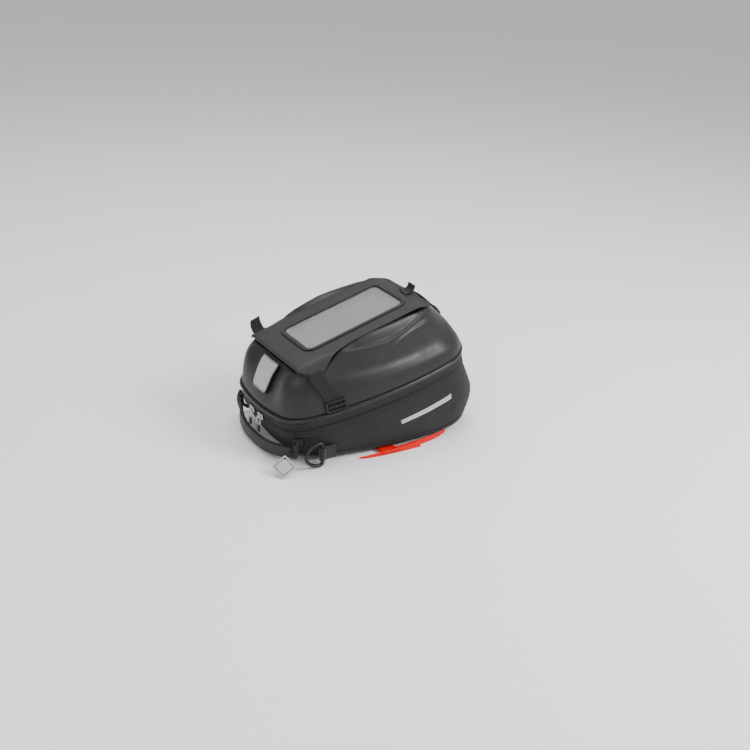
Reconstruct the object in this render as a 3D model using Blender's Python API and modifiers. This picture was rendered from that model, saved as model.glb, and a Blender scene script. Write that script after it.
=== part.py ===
"""Motorcycle tank bag that locks onto a ring on the fuel tank.

A moulded lid hinged at the front is zipped to a soft side wall.  A clear phone holder is strapped over the lid,
a padded handle and two D-rings hang at the rear, and a latch under the bag is pulled by a red release tape.

Three frames are used, each with X forwards, Y to the left and Z up:
  the part's frame, whose origin is the centre of the lock socket's flat ceiling;
  the seam frame, in the sloping plane where the lid meets the zip band;
  the film frame, in the plane of the phone holder's clear window.
Lengths are millimetres and angles degrees until a mesh or a curve is made, which takes metres.
"""
import math

import bmesh
import bpy
from mathutils import Matrix, Vector

MM = 0.001
GAP = 0.3                       # between pieces that touch

# Lie of the frames
BASE_Z = -14.0                  # underside of the bag's bottom panel
SEAM_RISE = 81.3                # seam plane above that underside, at X = 0
SEAM_PITCH = 11.6               # front of the seam plane up
FILM_RISE = 70.7                # window film above the seam plane
FILM_PITCH = 4.8                # front of the film up, from the seam plane

# Plan of the seam: arcs round one side, from the middle of the rear
SEAM_REAR = -145.7
REAR_R, REAR_ARC = 250.0, 12.3
CORNER_R, CORNER_ARC = 42.7, 62.9
SIDE_R, SIDE_ARC = 480.0, 23.6
SHOULDER_R, SHOULDER_ARC = 61.1, 68.0
STATIONS = 64                   # points round a ring

# Zip band below the seam: heights in the seam frame, and how far each face stands out of the seam's plan
PIPING_R, PIPING_Z, PIPING_OUT = 2.3, 0.6, -1.2
UPPER_TAPE = (-11.2, -2.1)
UPPER_COIL = (-12.45, -11.5)
LOWER_COIL = (-13.7, -12.75)
LOWER_TAPE = (-22.0, -14.0)
TAPE_OUT, TAPE_THICK = -1.0, 1.4
COIL_OUT, COIL_THICK = -1.5, 2.0
HINGE_X, HINGE_Z = 149.0, -12.6  # the lid's hinge line, in the seam frame
HINGE_SPAN = 13.0               # half the hinge strip's angle on the front arc

# Lid: rings of its outer face, from the piping to the bed under the phone holder
# rear x, front x, half width, height at the rear, at the sides (rear, middle, front) and at the front
LID_RINGS = [
    (-142.7, 143.0, 98.8, 4.3, 4.3, 4.3, 4.3, 4.3),
    (-141.0, 141.5, 98.2, 9.0, 9.5, 9.5, 9.5, 9.5),
    (-136.5, 138.0, 95.8, 17.0, 22.0, 20.0, 18.0, 18.0),
    (-129.0, 131.5, 92.0, 29.0, 36.0, 29.0, 25.0, 31.0),
    (-121.0, 124.0, 87.5, 40.5, 47.0, 37.0, 33.0, 42.0),
    (-113.0, 115.0, 82.0, 48.5, 55.0, 52.0, 49.0, 54.0),
    (-107.0, 107.5, 76.0, 52.0, 58.5, 68.0, 66.0, 63.0),
    (-104.5, 103.0, 71.0, 52.5, 59.0, 76.5, 73.0, 67.0),
    (-103.0, 99.5, 66.8, 52.3, 57.0, 74.0, 71.5, 68.5),
]
SCOOP = 9.0                     # how far the rear slope lies in from the corners beside it
BED_RINGS = [(-101.0, 96.5, 63.0), (-90.0, 86.0, 55.0), (-52.0, 48.0, 32.0)]
BED_DEPTH = 10.0                # bed below the film
LID_THICK = 2.6

# Side wall and bottom panel: rings as rear x, front x, half width, in the part's own directions
WALL_THICK = 2.6
WALL_SHARES = (0.0, 0.2, 0.45, 0.72, 1.0)   # heights of the wall's rings, from the hem to the zip band
HEM_RING = (-120.0, 157.0, 93.0)
HEM_Z = 4.5                     # the side wall's lower edge above the underside
BOW_START, BOW_RISE = 78.0, 26.0  # where the lower edge turns up, and how far it rises at the front
FLOOR_RING = (-114.0, 112.0, 87.0)
BULGE_OUT, FRONT_BULGE = 2.5, 5.5
PLATE_THICK = 2.0

# Tank lock
SOCKET_R = 46.0
CEILING, SOCKET_WALL = 3.0, 3.0
FLANGE_R, FLANGE_THICK = 62.0, 5.6
RETAINER_R, RETAINER_THICK = 60.0, 3.0
SCREW_CIRCLE = 55.0
SCREW_SHANK_R, SCREW_HEAD_R, SCREW_HEAD = 1.9, 3.6, 2.2
LATCH_HALF, LATCH_THICK, LATCH_Z = 12.0, 3.6, -3.2
LATCH_HEEL, LATCH_TRAVEL = 66.5, 7.0
LEG_HALF, LEG_THICK, LEG_FOOT = 8.0, 3.0, 3.2
SPRING_R, SPRING_WIRE_R, SPRING_TURNS = 1.6, 0.35, 6
HOUSING_OUT = 84.0
TAPE_EDGE, TAPE_WIDE, TAPE_DEEP = 92.0, 7.6, 1.2   # release tape: start of its bow, width, thickness

# Phone holder, in the film frame
SHEET_THICK = 1.8
WINDOW = (-74.0, 80.0, 40.0, 13.0)   # rear x, front x, half width, corner radius of the frame's outer edge
FRAME_WIDTH, FRAME_THICK = 4.5, 1.4
FILM_THICK = 0.6
WINDOW_MIDDLE = (WINDOW[0] + WINDOW[1]) / 2
WING_DROOP, NOSE_DROOP = 12.0, 9.0
STRAP_WIDTH, STRAP_THICK = 20.0, 1.6

# Zip sliders and their pulls
SLIDER_AT = (-2.4, 3.0)         # degrees round the rear arc, towards the left
SLIDER_LONG, SLIDER_TALL, SLIDER_THICK = 12.0, 8.4, 2.4
LUG_OUT, PIN_HOLE_R = 3.5, 1.15
PULL_WIRE_R, PULL_WIDE, PULL_LONG = 0.75, 8.0, 10.0
TAB_LONG, TAB_WIDE, TAB_THICK = 10.3, 5.0, 2.2

# Handle, D-rings and tag, in the part's frame with heights above the underside
ANCHOR_ANGLE, ANCHOR_SHARE = 136.0, 0.84   # where the handle's webbing is sewn to the side wall
ANCHOR_LONG = 8.0
HANDLE_END_DROP = 14.0          # from the handle's hinge line down to the grip's ends
HANDLE_BOW, HANDLE_DROP = 17.0, 8.0
GRIP_TALL, GRIP_THICK = 17.0, 5.0
RING_BAR = (-95.0, 91.5)        # x and distance from the middle of the D-ring's bar
RING_Z = (-2.0, 28.0)
RING_REACH, RING_R = 23.0, 2.3
TAG_SIDE, TAG_THICK = 22.0, 1.2

for old in list(bpy.data.objects):
    bpy.data.objects.remove(old, do_unlink=True)
PARTS = bpy.data.collections.new("tank_bag")
CUTTERS = bpy.data.collections.new("cutters")
for collection in (PARTS, CUTTERS):
    bpy.context.scene.collection.children.link(collection)


# ---------------------------------------------------------------- frames
SEAM = Matrix.Translation((0, 0, BASE_Z + SEAM_RISE)) @ Matrix.Rotation(math.radians(-SEAM_PITCH), 4, "Y")
FILM = SEAM @ Matrix.Rotation(math.radians(-FILM_PITCH), 4, "Y") @ Matrix.Translation((0, 0, FILM_RISE))


def eased(low, high, value):
    """0 at low, 1 at high, with a smooth start and end."""
    t = min(1.0, max(0.0, (value - low) / (high - low)))
    return t * t * (3.0 - 2.0 * t)


def placed(frame, points):
    """Points of a frame as world points in metres."""
    return [(frame @ Vector(p)) * MM for p in points]


def metres(frame):
    """The frame as an object's matrix, with its translation in metres."""
    out = frame.copy()
    out.translation = out.translation * MM
    return out


# ---------------------------------------------------------------- plan of the seam
def arcs():
    """The arcs of the left half: first and last normal angle, centre and radius, rear to front."""
    out, normal = [], 180.0
    centre = Vector((SEAM_REAR + REAR_R, 0.0))
    last_r = REAR_R
    for radius, sweep in ((REAR_R, REAR_ARC), (CORNER_R, CORNER_ARC), (SIDE_R, SIDE_ARC),
                          (SHOULDER_R, SHOULDER_ARC)):
        a = math.radians(normal)
        centre = centre + Vector((math.cos(a), math.sin(a))) * (last_r - radius)
        out.append((normal, normal - sweep, centre.copy(), radius))
        normal -= sweep
        last_r = radius
    a = math.radians(normal)
    front_r = last_r + centre.y / math.sin(a)      # brings the last centre onto the middle line
    centre = centre + Vector((math.cos(a), math.sin(a))) * (last_r - front_r)
    out.append((normal, 0.0, centre, front_r))
    return out


ARCS = arcs()
REAR_CENTRE_X = SEAM_REAR + REAR_R
SEAM_FRONT = ARCS[-1][2].x + ARCS[-1][3]
SEAM_HALF = max(c.y + r for _, _, c, r in ARCS[2:3])


def plan(angle, out=0.0):
    """The seam's plan where its outward normal has this angle, moved outwards."""
    turn = (angle + 180.0) % 360.0 - 180.0
    a = abs(turn)
    for first, last, centre, radius in ARCS:
        if first >= a >= last:
            break
    x = centre.x + (radius + out) * math.cos(math.radians(a))
    y = centre.y + (radius + out) * math.sin(math.radians(a))
    return x, math.copysign(y, turn)


def angles(count=STATIONS):
    """Normal angles round the ring, anticlockwise from the front, closer where the plan turns less."""
    half = []
    for first, last, _, radius in ARCS:
        steps = max(2, round(count / 2 * (first - last) / 180.0 * (0.55 + radius / 260.0)))
        half += [first - (first - last) * i / steps for i in range(steps)]
    return [0.0] + half[:0:-1] + [180.0] + [-a for a in half[1:]]


RING_ANGLES = angles()


def ring(z, out=0.0):
    """A ring parallel to the seam."""
    return [(*plan(a, out), z) for a in RING_ANGLES]


def stretched(rear, front, half):
    """The seam's plan stretched to other ends and another half width."""
    along = (front - rear) / (SEAM_FRONT - SEAM_REAR)
    points = []
    for a in RING_ANGLES:
        x, y = plan(a)
        points.append((rear + (x - SEAM_REAR) * along, y * half / SEAM_HALF))
    return points


# ---------------------------------------------------------------- building blocks
def material(name, colour, roughness, metallic=0.0, alpha=1.0):
    mat = bpy.data.materials.new(name)
    mat.use_nodes = True
    shader = mat.node_tree.nodes["Principled BSDF"]
    shader.inputs["Base Color"].default_value = (*colour, 1.0)
    shader.inputs["Roughness"].default_value = roughness
    shader.inputs["Metallic"].default_value = metallic
    shader.inputs["Alpha"].default_value = alpha
    return mat


def finish(obj, look, smooth=40.0):
    """Name the look's material on the object and shade its round faces smooth."""
    obj.data.materials.append(material(f"{obj.name}_look", *look))
    if smooth and obj.type == "MESH":
        obj.data.shade_smooth()
        obj.data.set_sharp_from_angle(angle=math.radians(smooth))
    return obj


def mesh_object(name, bm, collection=PARTS):
    bmesh.ops.recalc_face_normals(bm, faces=bm.faces)
    mesh = bpy.data.meshes.new(name)
    bm.to_mesh(mesh)
    bm.free()
    obj = bpy.data.objects.new(name, mesh)
    collection.objects.link(obj)
    return obj


def skin(rings, closed_ring=True, cap_last=False):
    """Quads between rings of world points, facing out where the rings run anticlockwise and rise."""
    bm = bmesh.new()
    rows = [[bm.verts.new(p) for p in points] for points in rings]
    count = len(rows[0])
    for low, high in zip(rows, rows[1:]):
        for i in range(count if closed_ring else count - 1):
            j = (i + 1) % count
            bm.faces.new((low[i], low[j], high[j], high[i]))
    if cap_last:
        bm.faces.new(rows[-1])
    return bm


def shell(name, rings, thickness, closed_ring=True, cap_last=False):
    """An open skin through the rings, thickened inwards."""
    bm = skin(rings, closed_ring, cap_last)
    mesh = bpy.data.meshes.new(name)
    bm.to_mesh(mesh)
    bm.free()
    obj = bpy.data.objects.new(name, mesh)
    PARTS.objects.link(obj)
    solid = obj.modifiers.new("thickness", "SOLIDIFY")
    solid.thickness = thickness * MM
    solid.offset = -1.0
    solid.use_even_offset = True
    return obj


def solid_loft(name, rings):
    """A closed solid through rings of world points, with flat ends."""
    bm = skin(rings, True, True)
    bm.verts.ensure_lookup_table()
    bm.faces.new([bm.verts[i] for i in reversed(range(len(rings[0])))])
    return mesh_object(name, bm)


def wire(name, points, radius, cyclic=False, sides=2):
    """A round wire through world points in metres."""
    curve = bpy.data.curves.new(name, "CURVE")
    curve.dimensions = "3D"
    spline = curve.splines.new("POLY")
    spline.points.add(len(points) - 1)
    for knot, p in zip(spline.points, points):
        knot.co = (*p, 1.0)
    spline.use_cyclic_u = cyclic
    curve.bevel_depth = radius * MM
    curve.bevel_resolution = sides
    curve.use_fill_caps = not cyclic
    obj = bpy.data.objects.new(name, curve)
    PARTS.objects.link(obj)
    return obj


def as_mesh(curve_obj, collection=PARTS):
    """The curve object as a welded mesh object of the same name."""
    name, matrix = curve_obj.name, curve_obj.matrix_world.copy()
    bpy.context.view_layer.update()
    evaluated = curve_obj.evaluated_get(bpy.context.evaluated_depsgraph_get())
    mesh = bpy.data.meshes.new_from_object(evaluated)
    bpy.data.objects.remove(curve_obj)
    bm = bmesh.new()
    bm.from_mesh(mesh)
    bmesh.ops.remove_doubles(bm, verts=bm.verts, dist=0.000001)
    bmesh.ops.recalc_face_normals(bm, faces=bm.faces)
    bm.to_mesh(mesh)
    bm.free()
    obj = bpy.data.objects.new(name, mesh)
    obj.matrix_world = matrix
    collection.objects.link(obj)
    return obj


def flat(name, loops, thickness, frame, collection=PARTS):
    """A flat piece from closed outlines in a frame's XY plane, centred on it; inner outlines are holes."""
    curve = bpy.data.curves.new(name, "CURVE")
    curve.dimensions = "2D"
    curve.fill_mode = "BOTH"
    curve.extrude = thickness / 2 * MM
    for loop in loops:
        spline = curve.splines.new("POLY")
        spline.points.add(len(loop) - 1)
        for knot, (x, y) in zip(spline.points, loop):
            knot.co = (x * MM, y * MM, 0.0, 1.0)
        spline.use_cyclic_u = True
    obj = bpy.data.objects.new(name, curve)
    PARTS.objects.link(obj)
    obj.matrix_world = metres(frame)
    return as_mesh(obj, collection)


def arc(cx, cy, radius, first, last, steps):
    return [(cx + radius * math.cos(math.radians(first + (last - first) * i / steps)),
             cy + radius * math.sin(math.radians(first + (last - first) * i / steps)))
            for i in range(steps + 1)]


def rounded(x0, x1, half, radius, steps=5):
    """A rectangle with round corners, from x0 to x1 and half each way in y."""
    return (arc(x1 - radius, half - radius, radius, 0, 90, steps)
            + arc(x0 + radius, half - radius, radius, 90, 180, steps)
            + arc(x0 + radius, radius - half, radius, 180, 270, steps)
            + arc(x1 - radius, radius - half, radius, 270, 360, steps))


def turned(name, profile, frame, segments=48, collection=PARTS):
    """A turned piece about the frame's Z; the profile of (radius, z) starts and ends on the axis or closes."""
    bm = bmesh.new()
    verts = [bm.verts.new((r * MM, 0.0, z * MM)) for r, z in profile]
    closed = profile[0][0] > 0
    pairs = list(zip(verts, verts[1:])) + ([(verts[-1], verts[0])] if closed else [])
    for a, b in pairs:
        bm.edges.new((a, b))
    mesh = bpy.data.meshes.new(name)
    bm.to_mesh(mesh)
    bm.free()
    obj = bpy.data.objects.new(name, mesh)
    collection.objects.link(obj)
    obj.matrix_world = metres(frame)
    screw = obj.modifiers.new("turn", "SCREW")
    screw.axis = "Z"
    screw.steps = screw.render_steps = segments
    screw.use_merge_vertices = True
    screw.merge_threshold = 0.00001
    return obj


def cutter(obj):
    obj.hide_render = True
    obj.display_type = "WIRE"
    return obj


def cut(obj, tool, operation="DIFFERENCE"):
    step = obj.modifiers.new("cut", "BOOLEAN")
    step.operation = operation
    step.object = tool
    return obj


def rod(name, radius, z0, z1, frame, segments=40):
    """A cylinder along the frame's Z, kept with the cutters."""
    bm = bmesh.new()
    bmesh.ops.create_cone(bm, cap_ends=True, segments=segments, radius1=radius * MM, radius2=radius * MM,
                          depth=(z1 - z0) * MM)
    bmesh.ops.translate(bm, verts=bm.verts, vec=(0, 0, (z0 + z1) / 2 * MM))
    obj = mesh_object(name, bm, CUTTERS)
    obj.matrix_world = metres(frame)
    return cutter(obj)


def block(name, size, frame, bevel=0.0, collection=PARTS):
    """A box centred on the frame, with its edges rounded off."""
    bm = bmesh.new()
    bmesh.ops.create_cube(bm, size=1.0, matrix=Matrix.Diagonal((*[s * MM for s in size], 1.0)))
    obj = mesh_object(name, bm, collection)
    obj.matrix_world = metres(frame)
    if bevel:
        edge = obj.modifiers.new("edges", "BEVEL")
        edge.width = bevel * MM
        edge.segments = 2
    return obj


# ---------------------------------------------------------------- looks: colour, roughness, metallic, alpha
EVA = ((0.030, 0.030, 0.032), 0.52)
FABRIC = ((0.018, 0.018, 0.019), 0.90)
BASE_FABRIC = ((0.012, 0.012, 0.013), 0.72)
WEBBING = ((0.016, 0.016, 0.017), 0.85)
RUBBER = ((0.014, 0.014, 0.015), 0.60)
COIL = ((0.010, 0.010, 0.011), 0.45)
PLASTIC = ((0.012, 0.012, 0.013), 0.38)
SHEET = ((0.022, 0.022, 0.024), 0.62)
FILM_LOOK = ((0.62, 0.62, 0.64), 0.12, 0.0, 0.35)
REFLECTIVE = ((0.70, 0.71, 0.72), 0.32, 0.30)
NICKEL = ((0.62, 0.60, 0.57), 0.25, 1.0)
STEEL = ((0.45, 0.45, 0.46), 0.35, 1.0)
RED = ((0.75, 0.010, 0.012), 0.65)
BOARD = ((0.030, 0.030, 0.030), 0.70)


# ---------------------------------------------------------------- lid
def film_height(x):
    """Height of the film plane in the seam frame."""
    slope = math.tan(math.radians(FILM_PITCH))
    return FILM_RISE / math.cos(math.radians(FILM_PITCH)) + x * slope


SHEET_FRONT = [(106.0, 0.0), (105.0, -30.0)]
SHEET_SIDE = [(80.0, -60.0), (10.0, -59.5), (-25.0, -60.5), (-42.0, -63.3), (-55.0, -67.5), (-66.0, -72.3),
              (-73.0, -74.8)]
SHEET_WING = [(-76.0, -75.6), (-93.0, -73.6), (-97.5, -71.0), (-100.5, -64.0), (-101.0, -40.0), (-101.0, 0.0)]


def sheet_outline():
    """The right half of the holder sheet's outline, from the middle of the front to the middle of the rear."""
    corner = [(96.0 + x, -48.0 + y) for x, y in arc(0, 0, 9.0, 0, -75, 4)]
    return SHEET_FRONT + corner + SHEET_SIDE + SHEET_WING


def droop(x, y):
    """How far the sheet's rear wings and its front edge hang below the film plane."""
    wing = eased(58.0, 80.0, abs(y)) * eased(-36.0, -76.0, x)
    return WING_DROOP * wing + NOSE_DROOP * eased(78.0, 108.0, x)


def under_sheet(x, y, z):
    """A height of the lid, lowered where it has to pass under the holder sheet."""
    film_x = x + FILM_RISE * math.sin(math.radians(FILM_PITCH))
    edge = SHEET_SIDE + SHEET_WING[:2]
    half = -edge[0][1]
    for (ax, ay), (bx, by) in zip(edge, edge[1:]):
        if bx <= film_x <= ax:
            half = -(ay + (by - ay) * (film_x - ax) / (bx - ax))
    outside = max(abs(y) - half, film_x - SHEET_FRONT[0][0], SHEET_WING[-1][0] - film_x)
    room = SHEET_THICK + 2.0
    return min(z, film_height(x) - droop(film_x, y) - room + 14.0 * eased(0.0, 13.0, outside))


def lid_ring(row):
    """One ring of the lid's outer face, in the seam frame."""
    rear, front, half, z_rear, side_rear, side_mid, side_front, z_front = row
    scoop = SCOOP * eased(0.0, 45.0, z_rear)
    points = []
    for x, y in stretched(rear, front, half):
        x -= scoop * eased(20.0, 58.0, abs(y)) * eased(0.45, 0.95, -x / 120.0)
        t = x / 90.0
        side = side_mid + (side_front - side_rear) / 2 * t + ((side_rear + side_front) / 2 - side_mid) * t * t
        side = min(side, max(side_rear, side_mid, side_front))
        end = z_rear if x < 0 else z_front
        share = eased(0.30, 0.95, abs(y) / half)
        points.append((x, y, under_sheet(x, y, end + (side - end) * share)))
    return points


def lid_rings():
    rings = [lid_ring(row) for row in LID_RINGS]
    for row in BED_RINGS:
        rings.append([(x, y, film_height(x) - BED_DEPTH) for x, y in stretched(*row)])
    return rings


def lid_point(angle, level):
    """A point of the lid's outer face at a normal angle and a ring number, which may lie between rings."""
    rows = LID_RINGS
    low = min(int(level), len(rows) - 2)
    share = level - low
    row = [a + (b - a) * share for a, b in zip(rows[low], rows[low + 1])]
    rear, front, half = row[:3]
    x, y = plan(angle)
    x = rear + (x - SEAM_REAR) * (front - rear) / (SEAM_FRONT - SEAM_REAR)
    y = y * half / SEAM_HALF
    x -= SCOOP * eased(0.0, 45.0, row[3]) * eased(20.0, 58.0, abs(y)) * eased(0.45, 0.95, -x / 120.0)
    t = x / 90.0
    side = row[5] + (row[6] - row[4]) / 2 * t + ((row[4] + row[6]) / 2 - row[5]) * t * t
    side = min(side, max(row[4:7]))
    end = row[3] if x < 0 else row[7]
    return Vector((x, y, under_sheet(x, y, end + (side - end) * eased(0.30, 0.95, abs(y) / half))))


def lid_normal(angle, level):
    """The outward normal of the lid's face there."""
    step = 0.05
    up = lid_point(angle, level + step) - lid_point(angle, level - step)
    along = lid_point(angle + 1.0, level) - lid_point(angle - 1.0, level)
    return along.cross(up).normalized()


def make_lid():
    rings = [placed(SEAM, points) for points in lid_rings()]
    finish(shell("lid_shell", rings, LID_THICK, cap_last=True), EVA)
    points = placed(SEAM, ring(PIPING_Z, PIPING_OUT))
    finish(wire("lid_piping", points, PIPING_R, cyclic=True, sides=1), RUBBER)


def band(name, heights, out, thickness, look):
    """A tape or coil that runs all the way round the seam."""
    low, high = heights
    rings = [placed(SEAM, ring(low, out)), placed(SEAM, ring(high, out))]
    return finish(shell(name, rings, thickness), look)


def make_zip():
    band("zip_tape_upper", UPPER_TAPE, TAPE_OUT, TAPE_THICK, FABRIC)
    band("zip_coil_upper", UPPER_COIL, COIL_OUT, COIL_THICK, COIL)
    band("zip_coil_lower", LOWER_COIL, COIL_OUT, COIL_THICK, COIL)
    band("zip_tape_lower", LOWER_TAPE, TAPE_OUT, TAPE_THICK, FABRIC)
    steps = 10
    spread = [-HINGE_SPAN + 2 * HINGE_SPAN * i / steps for i in range(steps + 1)]
    out = TAPE_OUT + GAP + 1.2
    rings = [placed(SEAM, [(*plan(a, out), z) for a in spread]) for z in (LOWER_TAPE[0], HINGE_Z - 0.5)]
    finish(shell("lid_hinge_strip", rings, 1.2, closed_ring=False), FABRIC)


# ---------------------------------------------------------------- side wall and bottom
def hem_height(x):
    """The lower edge of the side wall above the underside; it turns up at the front like a boat's bow."""
    t = max(0.0, (x - BOW_START) / (HEM_RING[1] - BOW_START))
    return HEM_Z + BOW_RISE * t * t


def wall_rings():
    """World points (mm) of the side wall, from its hem to the zip band."""
    top = [SEAM @ Vector(p) for p in ring(LOWER_TAPE[0] - GAP, TAPE_OUT - 0.6)]
    hem = [Vector((x, y, BASE_Z + hem_height(x))) for x, y in stretched(*HEM_RING)]
    rings = []
    for share in WALL_SHARES:
        row = []
        for a, low, high in zip(RING_ANGLES, hem, top):
            swell = (BULGE_OUT + FRONT_BULGE * eased(95.0, 50.0, abs(a))) * math.sin(math.pi * share ** 0.8)
            p = low.lerp(high, share)
            row.append(p + Vector((math.cos(math.radians(a)), math.sin(math.radians(a)), 0.0)) * swell)
        rings.append(row)
    return rings


def to_metres(points):
    return [p * MM for p in points]


def make_wall():
    finish(shell("side_wall", [to_metres(r) for r in wall_rings()], WALL_THICK), FABRIC)


def make_bottom():
    hem = stretched(*HEM_RING)
    rows = []
    for sink, inset in ((0.0, 0.0), (0.5, 0.0), (0.85, 0.3), (1.0, 1.0)):
        row = []
        for (x, y), (fx, fy) in zip(hem, stretched(*FLOOR_RING)):
            z = (hem_height(x) - 2 * GAP) * (1.0 - sink)
            row.append(Vector((x + (fx - x) * inset, y + (fy - y) * inset, BASE_Z + z)))
        rows.append(to_metres(row))
    inner = [Vector((x * 0.8 - 6.0 * 0.2, y * 0.8, BASE_Z)) for x, y in stretched(*FLOOR_RING)]
    rows.append(to_metres(inner))
    rows.reverse()
    bm = skin(rows)
    bm.verts.ensure_lookup_table()
    bm.faces.new([bm.verts[i] for i in reversed(range(len(rows[0])))])
    mesh = bpy.data.meshes.new("bottom_panel")
    bm.to_mesh(mesh)
    bm.free()
    panel = bpy.data.objects.new("bottom_panel", mesh)
    PARTS.objects.link(panel)
    solid = panel.modifiers.new("thickness", "SOLIDIFY")
    solid.thickness = WALL_THICK * MM
    solid.offset = -1.0
    hole = rod("socket_hole", SOCKET_R + SOCKET_WALL + GAP, -20.0, 20.0, Matrix.Identity(4), 48)
    cut(panel, hole)
    finish(panel, BASE_FABRIC)
    top = BASE_Z + WALL_THICK + GAP
    edge = [(x * 0.97 - 1.0, y * 0.97) for x, y in stretched(*FLOOR_RING)]
    board = solid_loft("base_plate", [[Vector((x, y, z)) * MM for x, y in edge] for z in (top, top + PLATE_THICK)])
    cut(board, hole)
    finish(board, BOARD, 0)
    slot = block("leg_slot", (2 * LEG_HALF + 2, LEG_THICK + LATCH_TRAVEL + 2.0, 30.0),
                 Matrix.Translation((0, -LATCH_HEEL + LEG_THICK / 2 - LATCH_TRAVEL / 2, BASE_Z)), collection=CUTTERS)
    cut(panel, cutter(slot))
    cut(board, slot)
    for x, y in screw_places():
        drill = rod("screw_hole", SCREW_SHANK_R + GAP, -20.0, 20.0, Matrix.Translation((x, y, 0)), 12)
        cut(panel, drill)
        cut(board, drill)


# ---------------------------------------------------------------- tank lock
def screw_places():
    for i in range(4):
        a = math.radians(45 + 90 * i)
        yield SCREW_CIRCLE * math.cos(a), SCREW_CIRCLE * math.sin(a)


def make_lock():
    frame = Matrix.Identity(4)
    rim = SOCKET_R + SOCKET_WALL
    flange_top = BASE_Z - GAP
    flange = turned("lock_flange", [
        (0.0, CEILING), (rim - 1.0, CEILING), (rim, CEILING - 1.0), (rim, flange_top), (FLANGE_R, flange_top),
        (FLANGE_R, flange_top - FLANGE_THICK + 1.2), (FLANGE_R - 1.2, flange_top - FLANGE_THICK),
        (SOCKET_R + 1.0, flange_top - FLANGE_THICK), (SOCKET_R, flange_top - FLANGE_THICK + 1.0),
        (SOCKET_R, 0.0), (0.0, 0.0)], frame)
    # the latch passes through the socket's right wall
    window = block("latch_window", (2 * LATCH_HALF + 2 * GAP, 12.0, LATCH_THICK + 2 * GAP), Matrix.Translation((0, -SOCKET_R - 1.0, LATCH_Z)),
                   collection=CUTTERS)
    cut(flange, cutter(window))
    finish(flange, PLASTIC)
    plate_top = BASE_Z + WALL_THICK + GAP + PLATE_THICK
    low = plate_top + GAP
    retainer = turned("lock_retainer", [
        (RETAINER_R, low), (rim + GAP, low), (rim + GAP, low + RETAINER_THICK), (RETAINER_R - 1.0, low + RETAINER_THICK),
        (RETAINER_R, low + RETAINER_THICK - 1.0)], frame)
    head_low = low + RETAINER_THICK + GAP
    tip = flange_top - 3.6
    for i, (x, y) in enumerate(screw_places()):
        spot = Matrix.Translation((x, y, 0))
        hole = rod("screw_bore", SCREW_SHANK_R + GAP, -20.0, 20.0, spot, 12)
        cut(retainer, hole)
        blind = rod("screw_blind", SCREW_SHANK_R + GAP, tip - GAP, flange_top + 1.0, spot, 12)
        cut(flange, blind)
        screw = turned(f"lock_screw_{i + 1}", [
            (0.0, head_low + SCREW_HEAD), (SCREW_HEAD_R - 1.0, head_low + SCREW_HEAD),
            (SCREW_HEAD_R, head_low + SCREW_HEAD - 1.0), (SCREW_HEAD_R, head_low),
            (SCREW_SHANK_R, head_low), (SCREW_SHANK_R, tip), (0.0, tip)], spot, 14)
        finish(screw, STEEL)
    finish(retainer, PLASTIC)


def make_latch():
    """The latch slides out through the socket's right wall against a spring; its leg carries the tape."""
    nose = SOCKET_R - 3.0
    outline = arc(0, 0, nose, -105, -75, 8) + [(LATCH_HALF, -LATCH_HEEL), (-LATCH_HALF, -LATCH_HEEL)]
    latch = flat("latch", [outline], LATCH_THICK, Matrix.Translation((0, 0, LATCH_Z)))
    top, foot = LATCH_Z - LATCH_THICK / 2 + 0.5, BASE_Z - LEG_FOOT
    leg = block("latch_leg", (2 * LEG_HALF, LEG_THICK, top - foot),
                Matrix.Translation((0, -LATCH_HEEL + LEG_THICK / 2, (top + foot) / 2)), collection=CUTTERS)
    cut(latch, cutter(leg), "UNION")
    finish(latch, PLASTIC, 0)
    # a guide round the latch, standing on the base plate, whose end wall backs the spring
    low = BASE_Z + WALL_THICK + PLATE_THICK + 2 * GAP
    side, wall = LATCH_HALF + GAP, 3.0
    start = RETAINER_R + 1.0
    outline = [(-side - wall, -start), (-side, -start), (-side, -HOUSING_OUT + wall), (side, -HOUSING_OUT + wall),
               (side, -start), (side + wall, -start), (side + wall, -HOUSING_OUT), (-side - wall, -HOUSING_OUT)]
    tall = LATCH_Z + LATCH_THICK / 2 - low
    finish(flat("latch_guide", [outline], tall, Matrix.Translation((0, 0, low + tall / 2))), PLASTIC, 0)
    far, near = -HOUSING_OUT + wall + GAP + SPRING_WIRE_R, -LATCH_HEEL - GAP - SPRING_WIRE_R
    steps = SPRING_TURNS * 10
    coil = []
    for i in range(steps + 1):
        turn = 2 * math.pi * SPRING_TURNS * i / steps
        coil.append((SPRING_R * math.cos(turn), near + (far - near) * i / steps, LATCH_Z + SPRING_R * math.sin(turn)))
    finish(wire("latch_spring", placed(Matrix.Identity(4), coil), SPRING_WIRE_R, sides=1), STEEL)


def upright_strip(name, path, tall, thickness):
    """A strip standing on edge along world points of its lower edge, as a cutter to join."""
    edges = [[(x, y, z + rise) for x, y, z in path] for rise in (0.0, tall)]
    bm = skin([placed(Matrix.Identity(4), row) for row in edges], closed_ring=False)
    obj = mesh_object(name, bm, CUTTERS)
    solid = obj.modifiers.new("thickness", "SOLIDIFY")
    solid.thickness = thickness * MM
    solid.offset = 0.0
    return cutter(obj)


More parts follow.
